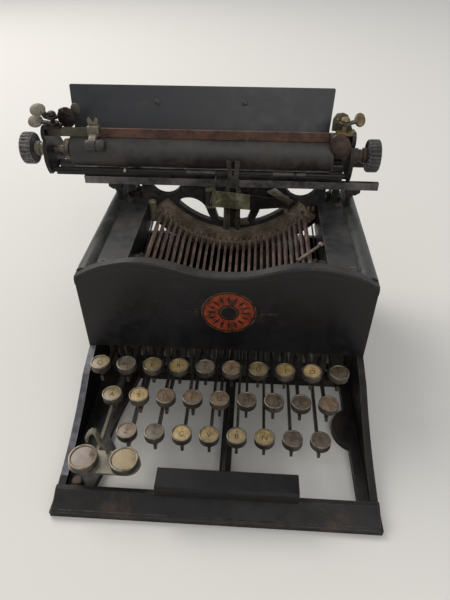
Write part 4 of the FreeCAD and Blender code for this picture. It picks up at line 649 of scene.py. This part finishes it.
def platen_set():
    """The roller, its two knobs, and the shaft with its ratchet and hubs."""
    low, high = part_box("platen")
    left, right = low.x / MM + KNOB_LENGTH, high.x / MM - KNOB_LENGTH
    roller = tube(SHAFT_RADIUS, PLATEN_RADIUS, PLATEN_LENGTH, PLATEN_LEFT, 0.8, 96)
    piece("platen_roller", roller, "platen", [RUBBER], ["platen"])
    for name, x, side, material in (("left", left, -1, WORN_EBONITE),
                                    ("right", right, 1, KNOB_EBONITE)):
        piece("platen_knob_" + name, knob_shape(x, side), "platen", [material],
              ["platen"])
    steel = [(tube(0.001, SHAFT_RADIUS, right - left, left, 0.2, 24), 0),
             (ratchet(RATCHET_LEFT, RATCHET_RADIUS, RATCHET_THICKNESS, RATCHET_TEETH), 0)]
    for number, start in ((1, left), (2, right - HUB_LENGTH)):
        steel.append((lathe(HUB_PROFILE, (start, PLATEN_Y, PLATEN_Z), "x"), number))
    piece("platen_shaft_and_hubs", joined(steel), "platen",
          [LEVER_STEEL, LEVER_KHAKI, BROWN_CAST], ["platen"])


# ---------------------------------------------------------------- thumb levers and finger

POST_LEFT, POST_RIGHT = (-149.5, 109.0), (88.5, 109.0)
HIGH_LEVER, LOW_LEVER = 178.8, 173.8


def thumb_disc(centre, across, along, thick, tilt=40):
    """A plump disc, wider than deep, tilted towards the typist."""
    half = thick / 2
    mesh = lathe([(0, -half), (along - half, -half), (along - half * 0.35, -half * 0.7),
                  (along, 0), (along - half * 0.35, half * 0.7), (along - half, half),
                  (0, half * 1.15)], (0, 0, 0))
    mesh.transform(Matrix.Translation(centre)
                   @ Matrix.Rotation(math.radians(tilt), 4, "X")
                   @ Matrix.Diagonal((across / along, 1, 1, 1)))
    return mesh


def thumb_lever(name, post, under, centre, across, along, arm_width, materials):
    """A lever: boss with its hole, an arm that bends up, and the tilted thumb disc."""
    x, y = post
    side = 1 if centre[0] > x else -1
    boss = lathe([(1.9, 0), (4.6, 0), (4.8, 0.4), (4.8, 1.8), (4.4, 2.2), (1.9, 2.2)],
                 (x, y, under))
    tip_x, tip_z = centre[0] - side * across * 0.45, centre[2] - 0.4
    arm = plate(band([(x + side * 3.4, under + 1.1), (x + side * 5.0, under + 1.4),
                      ((x + side * 5.0 + tip_x) / 2, (under + 1.4 + tip_z) / 2),
                      (tip_x, tip_z)], 2.0), "xz", y + arm_width / 2, arm_width)
    disc = thumb_disc(centre, across, along, 3.2)
    piece(name + "_blade", joined([(boss, 0), (arm, 0), (disc, 1)]), name, materials,
          [name])


def lever_nut(name, post, material):
    x, y = post
    nut = lathe([(0, 0), (3.4, 0), (3.7, 0.6), (3.5, 1.8), (2.4, 3.0), (0, 3.5)],
                (x, y, HIGH_LEVER + 2.6), steps=24)
    piece(name, nut, "carriage", [material])


THUMB_LEVERS = (
    # name, post, underside, disc's centre, disc across and along, arm's width, materials
    ("line_space_lever", POST_LEFT, HIGH_LEVER, (-160.2, 109.0, 185.5), 6.6, 5.8, 7.0,
     [LEVER_BROWN, LEVER_KHAKI]),
    ("platen_release_lever", POST_LEFT, LOW_LEVER, (-164.2, 109.0, 176.2), 6.4, 5.8, 5.0,
     [LEVER_BROWN, LEVER_KHAKI]),
    ("paper_release_lever", POST_RIGHT, HIGH_LEVER, (100.2, 111.0, 181.9), 4.4, 6.2, 5.0,
     [DARK_OLIVE, OLD_BRASS]))


def thumb_levers():
    for lever in THUMB_LEVERS:
        thumb_lever(*lever)
    lever_nut("lever_nut_left", POST_LEFT, LEVER_BROWN)
    lever_nut("lever_nut_right", POST_RIGHT, OLD_BRASS)


def lever_brackets():
    """The brown bracket at the left end, and the olive one with its bearing at the right."""
    left = plate(oval(-141.5, 176, 7.6, 8.6), "xz", 121.0, 2.4, 0.6)
    wing = plate(oval(-134.8, 180.5, 4.2, 5.6), "xz", 127.0, 2.0, 0.5)
    knobs = [(pin((-143.5, 117, 182), (-137.5, 120, 178), 2.0), 0),
             (knuckle((-143.5, 117, 182), 2.6, (1.2, 0.8, 1)), 0)]
    piece("bracket_left", joined([(left, 0), (wing, 1)] + knobs), "carriage",
          [LEVER_BROWN, DARK_OLIVE])
    right = plate([(79.5, 171.6), (79.5, 181), (82, 185.5), (87, 186.2), (91, 184.5), (93.5, 179),
                   (97.6, 170), (97.2, 163), (93.8, 161), (91, 168), (88, 171.6)], "xz", 115.4, 2.2,
                  0.5)
    bearing = [(plate([(77.8, 165.4), (78.9, 170), (82.6, 172.8), (87.9, 173), (92.8, 169),
                       (95.6, 164.9), (97, 160.8), (97, 154), (94.8, 151.9), (88.9, 151.6),
                       (83.7, 153.3), (79.9, 157.8)], "xz", 107.4, 4.6, 1.6), 1),
               (knuckle((87.0, 103.4, 160.6), 5.4, (1.2, 0.5, 1.3)), 1),
               (knuckle((81.5, 106.4, 169.6), 3.2, (1.2, 0.8, 1.0)), 1),
               (pin((84, 113.4, 180.5), (84, 111.6, 180.5), 2.4, 1.8), 2)]
    piece("bracket_right", joined([(right, 0)] + bearing), "carriage",
          [DARK_OLIVE, BROWN_CAST, OLD_BRASS])


def paper_finger():
    """A clip over the scale with two ears, a bent arm and its small two-part barrel."""
    clip = plate([(107.7, 164.6), (109.7, 164.6), (109.7, 171.3), (111.9, 171.3), (111.9, 165.6),
                  (113.9, 165.6), (113.9, 172.8), (107.7, 172.8)], "yz", -121.8, 9.6)
    ears = plate([(-121.4, 172.4), (-122.2, 177.6), (-120.2, 179.4), (-117.2, 174.2),
                  (-114.8, 179.0), (-112.8, 177.4), (-113.4, 172.4)], "xz", 113.6, 1.6)
    arm = plate([(109.4, 164.8), (107.9, 168.2), (101.0, 166.4), (98.4, 164.6), (99.2, 162.6),
                 (104.6, 163.0)], "yz", -119.4, 6.0)
    barrel = lathe([(0, 0), (3.0, 0), (4.1, 1.0), (4.5, 3.2), (4.5, 8.8), (3.8, 9.2), (3.8, 9.9),
                    (4.5, 10.3), (4.6, 14.6), (3.6, 16.6), (0, 17.0)],
                   (-123.1, 100.6, 160.1), "x")
    piece("finger_clip", joined([(clip, 0), (ears, 0), (arm, 0), (barrel, 1)]), "paper_finger",
          [LEVER_KHAKI, RUBBER], ["paper_finger"])


# ---------------------------------------------------------------- small fittings

TABLE_RIVETS, TABLE_TILT = ((-68.0, 145.0, 182.1), (7.9, 145.0, 182.6)), 22
BASKET_BLOCKS = ((59.6, 63.4, 103.6, 107.2, 1), (64.2, 67.6, 104, 110.6, 3),
                 (68.4, 71.6, 106, 110.2, 1))


def carriage_fittings():
    """The bar and collar of the front rod, the rails' feet, the scale's end and the rivets."""
    bar = plate([(-153, 132.9), (92, 132.9), (92, 136.2), (-153, 136.2)], "xz", 104.6, 2.2)
    piece("margin_bar", bar, "carriage", [CARRIAGE_BLACK])
    collar = lathe([(2.4, 0), (3.2, 0), (3.5, 0.4), (3.5, 1.8), (3.2, 2.2), (2.4, 2.2)],
                   (-94.5, ROD_Y, ROD_Z), "x")
    piece("rod_collar", collar, "carriage", [NICKEL])
    foot = [(-109, 125.7), (-96, 125.7), (-96, 123), (-99, 120.5), (-105, 120.5), (-109, 123)]
    feet = [(plate(foot, "xz", 106.4, 5.2, 0.8), 0),
            (plate([(-x, z) for x, z in foot][::-1], "xz", 106.4, 5.2, 0.8), 0)]
    piece("rail_feet", joined(feet), "lift_frame", [CARRIAGE_BLACK])
    low, high = (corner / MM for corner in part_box("line_scale"))
    strip = plate([(low.x + 0.3, low.z + 0.3), (-122.4, low.z + 0.3), (-122.4, high.z - 0.3),
                   (low.x + 0.3, high.z - 0.3)], "xz", low.y + 0.2, 0.4, 0.1)
    piece("scale_end", strip, "carriage", [DARK_OLIVE])
    rivets = []
    for place in TABLE_RIVETS:
        dome = lathe([(0, -0.5), (2.7, -0.5), (2.7, 0.2), (2.2, 0.8), (1.2, 1.2), (0, 1.3)],
                     (0, 0, 0), steps=24)
        dome.transform(Matrix.Translation(place)
                       @ Matrix.Rotation(math.radians(90 - TABLE_TILT), 4, "X"))
        rivets.append((dome, 0))
    # the rivet heads take the lighter japan as a painted highlight
    piece("table_rivets", joined(rivets), "carriage", [HIGHLIGHT_JAPAN])


def basket_fittings():
    """The post, link rod, blocks, pad and lumps that stand round the type basket."""
    parts = [(pin((-70.5, 97.2, 94), (-70.5, 97.2, 111.5), 3.5), 0),
             (knuckle((-70.5, 97.2, 111.5), 3.5, (1, 1, 0.7)), 0),
             (pin((52.9, 22.5, 104.5), (71.5, 38.5, 109.5), 1.3), 2),
             (knuckle((71.5, 38.5, 109.5), 2.8), 2)]
    for left, right, low, high, number in BASKET_BLOCKS:
        block = plate([(left, low), (right, low + 0.4), (right - 0.4, high),
                       (left + 0.5, high - 0.6)], "xz", 101.2, 3.4, 0.5)
        parts.append((block, number))
    pad = [(-8.6, 80), (-2.6, 80), (-2.6, 100), (-3.4, 108.6), (-8.0, 108.6)]
    parts += [(plate(pad, "xz", 104.0, 3.2, 0.6), 0),
              (knuckle((5.2, 102.4, 91.5), 4.2, (1.3, 0.45, 1)), 1),
              (knuckle((11.4, 102.4, 90.4), 3.2, (1.2, 0.5, 0.8)), 1)]
    piece("basket_posts", joined(parts), "machine",
          [LEVER_KHAKI, BROWN_CAST, LEVER_STEEL, OLD_BRASS])


def ink_plate():
    """The light plate and the wire on the inking arm."""
    parts = [(plate([(29, 125), (36, 129), (52, 117), (48.5, 112.5)], "xz", 96.1, 1.3), 0),
             (pin((-14.1, 95.2, 137.5), (-19.5, 95.2, 112), 0.5), 1)]
    piece("ink_arm_plate", joined(parts), "ink_arm", [LEVER_STEEL, NICKEL])


def base_fittings():
    """The curled lug of the shift plate, the space bar's screws and a small foot."""
    lug = plate(band([(-87.1, 35.9), (-86.8, 40.4), (-84.8, 43.8), (-82.2, 46.4), (-80.4, 46.0),
                      (-79.7, 42.0), (-79.4, 38.0), (-78.5, 34.4), (-76.6, 31.8), (-75.2, 29.0),
                      (-75.0, 25.0)], 1.6), "xz", -95.6, 4.6)
    piece("shift_lug", lug, "shift_key_plate", [LEVER_KHAKI])
    screws = [(lathe([(0, 0), (1.9, 0), (1.9, 0.5), (1.4, 1.0), (0, 1.1)], (x, -124.2, 18.9),
                     "y", 20), 0) for x in (-4.1, 10.6)]
    piece("space_bar_screws", joined(screws), "space_bar", [LEVER_STEEL])
    foot = lathe([(0, 0), (3.6, 0), (3.6, 3.6), (2.8, 4.5), (0, 4.5)], (-95, -112, 6.0), steps=24)
    piece("base_stud", foot, "machine", [BROWN_CAST])


# ---------------------------------------------------------------- panel ornament

PANEL_FRONT = -16.0
ORNAMENT = Vector((3.0, PANEL_FRONT - 0.02, 83.0))
STRETCH, LEAVES, LEAF_LIFT = 1.06, 16, 0.06
RING, LEAF, OUTER_RULE, INNER_RULE = (7.2, 17.4), (8.6, 16.4), (18.4, 19.0), (5.4, 6.0)


def upright(mesh, offset=(0, 0)):
    """Stands a flat shape up on the panel, facing the typist."""
    turn = Matrix.Rotation(math.radians(90), 4, "X")
    shift = Matrix.Translation(ORNAMENT + Vector((offset[0], 0, offset[1])))
    mesh.transform(shift @ turn)
    bmesh.ops.recalc_face_normals(mesh, faces=mesh.faces)
    return mesh


def leaf(inner, outer, half, angle):
    points = [(inner, 0), (inner * 0.55 + outer * 0.45, half), (outer, 0),
              (inner * 0.55 + outer * 0.45, -half)]
    turned = [(x * math.cos(angle) - y * math.sin(angle), x * math.sin(angle)
               + y * math.cos(angle)) for x, y in points]
    return prism([(x * STRETCH, y) for x, y in turned], 0.1)


def flat_ring(inner, outer):
    profile = [(inner, 0), (outer, 0), (outer, 0.1), (inner, 0.1)]
    mesh = lathe(profile, (0, 0, 0), steps=64)
    mesh.transform(Matrix.Diagonal((STRETCH, 1, 1, 1)))
    return mesh


def panel_ornament():
    """A ring of dark leaves on worn vermilion between gold rules."""
    ring = [(upright(flat_ring(*RING)), 0)]
    piece("panel_ring", joined(ring), "machine", [VERMILION], sharp=60)
    leaves = []
    for index in range(LEAVES):
        mesh = upright(leaf(*LEAF, 1.0, math.tau * index / LEAVES))
        bmesh.ops.translate(mesh, verts=mesh.verts, vec=(0, -LEAF_LIFT, 0))
        leaves.append((mesh, 0))
    piece("panel_leaves", joined(leaves), "machine", [PANEL_JAPAN], sharp=60)
    rules = [(upright(flat_ring(*OUTER_RULE)), 0), (upright(flat_ring(*INNER_RULE)), 0)]
    for side in (-1, 1):
        for rise in (-2.2, 0.0, 2.2):
            reach = 36.0 - 5.0 * abs(rise)
            start, end = side * 23.0, side * reach
            rules.append((upright(prism([(start, rise - 0.35), (end, rise - 0.1),
                                         (end, rise + 0.1), (start, rise + 0.35)], 0.1)), 0))
    piece("panel_gold_rules", joined(rules), "machine", [OLD_GOLD], sharp=60)


# ---------------------------------------------------------------- room

FLOOR_TONE = tone(214, 210, 203)
ROOM_COLOUR, ROOM_STRENGTH = (0.92, 0.95, 1.0, 1.0), 0.62
LAMP_COLOUR = (1.0, 0.98, 0.95)
CAMERA_PLACE, CAMERA_PITCH, CAMERA_YAW = (0.01687, -0.29064, 0.31626), 38.81, 3.47
CAMERA_LENS, CAMERA_SENSOR = 29.58, 36


def room():
    """A plain pale floor."""
    mesh = bmesh.new()
    bmesh.ops.create_grid(mesh, x_segments=1, y_segments=1, size=8)
    data = bpy.data.meshes.new("floor")
    mesh.to_mesh(data)
    mesh.free()
    floor = bpy.data.objects.new("floor", data)
    bpy.context.scene.collection.objects.link(floor)
    material = bpy.data.materials.new("pale_floor")
    material.use_nodes = True
    shader = material.node_tree.nodes["Principled BSDF"]
    shader.inputs["Base Color"].default_value = FLOOR_TONE
    shader.inputs["Roughness"].default_value = 0.9
    data.materials.append(material)


def lamp(name, place, aim, size, power, colour):
    light = bpy.data.lights.new(name, "AREA")
    light.shape = "DISK"
    light.size = size
    light.energy = power
    light.color = colour
    holder = bpy.data.objects.new(name, light)
    bpy.context.scene.collection.objects.link(holder)
    holder.location = place
    holder.rotation_euler = (Vector(aim) - Vector(place)).to_track_quat("-Z", "Y").to_euler()


def lights_and_camera():
    scene = bpy.context.scene
    scene.view_settings.view_transform = "Standard"
    world = bpy.data.worlds.new("soft_room")
    world.use_nodes = True
    light = world.node_tree.nodes["Background"].inputs
    light["Color"].default_value = ROOM_COLOUR
    light["Strength"].default_value = ROOM_STRENGTH
    scene.world = world
    lamp("window_light", (-1.3, 1.1, 1.7), (0, 0, 0.05), 1.6, 34.0, LAMP_COLOUR)
    lamp("front_fill", (0.5, -1.6, 1.5), (0, 0, 0.08), 1.8, 12.0, LAMP_COLOUR)
    camera = bpy.data.cameras.new("camera")
    camera.sensor_width = CAMERA_SENSOR
    camera.lens = CAMERA_LENS
    holder = bpy.data.objects.new("camera", camera)
    scene.collection.objects.link(holder)
    holder.location = CAMERA_PLACE
    holder.rotation_euler = (math.radians(90 - CAMERA_PITCH), 0, math.radians(CAMERA_YAW))
    scene.camera = holder


key_caps()
platen_set()
thumb_levers()
lever_brackets()
paper_finger()
carriage_fittings()
basket_fittings()
ink_plate()
base_fittings()
panel_ornament()
room()
lights_and_camera()
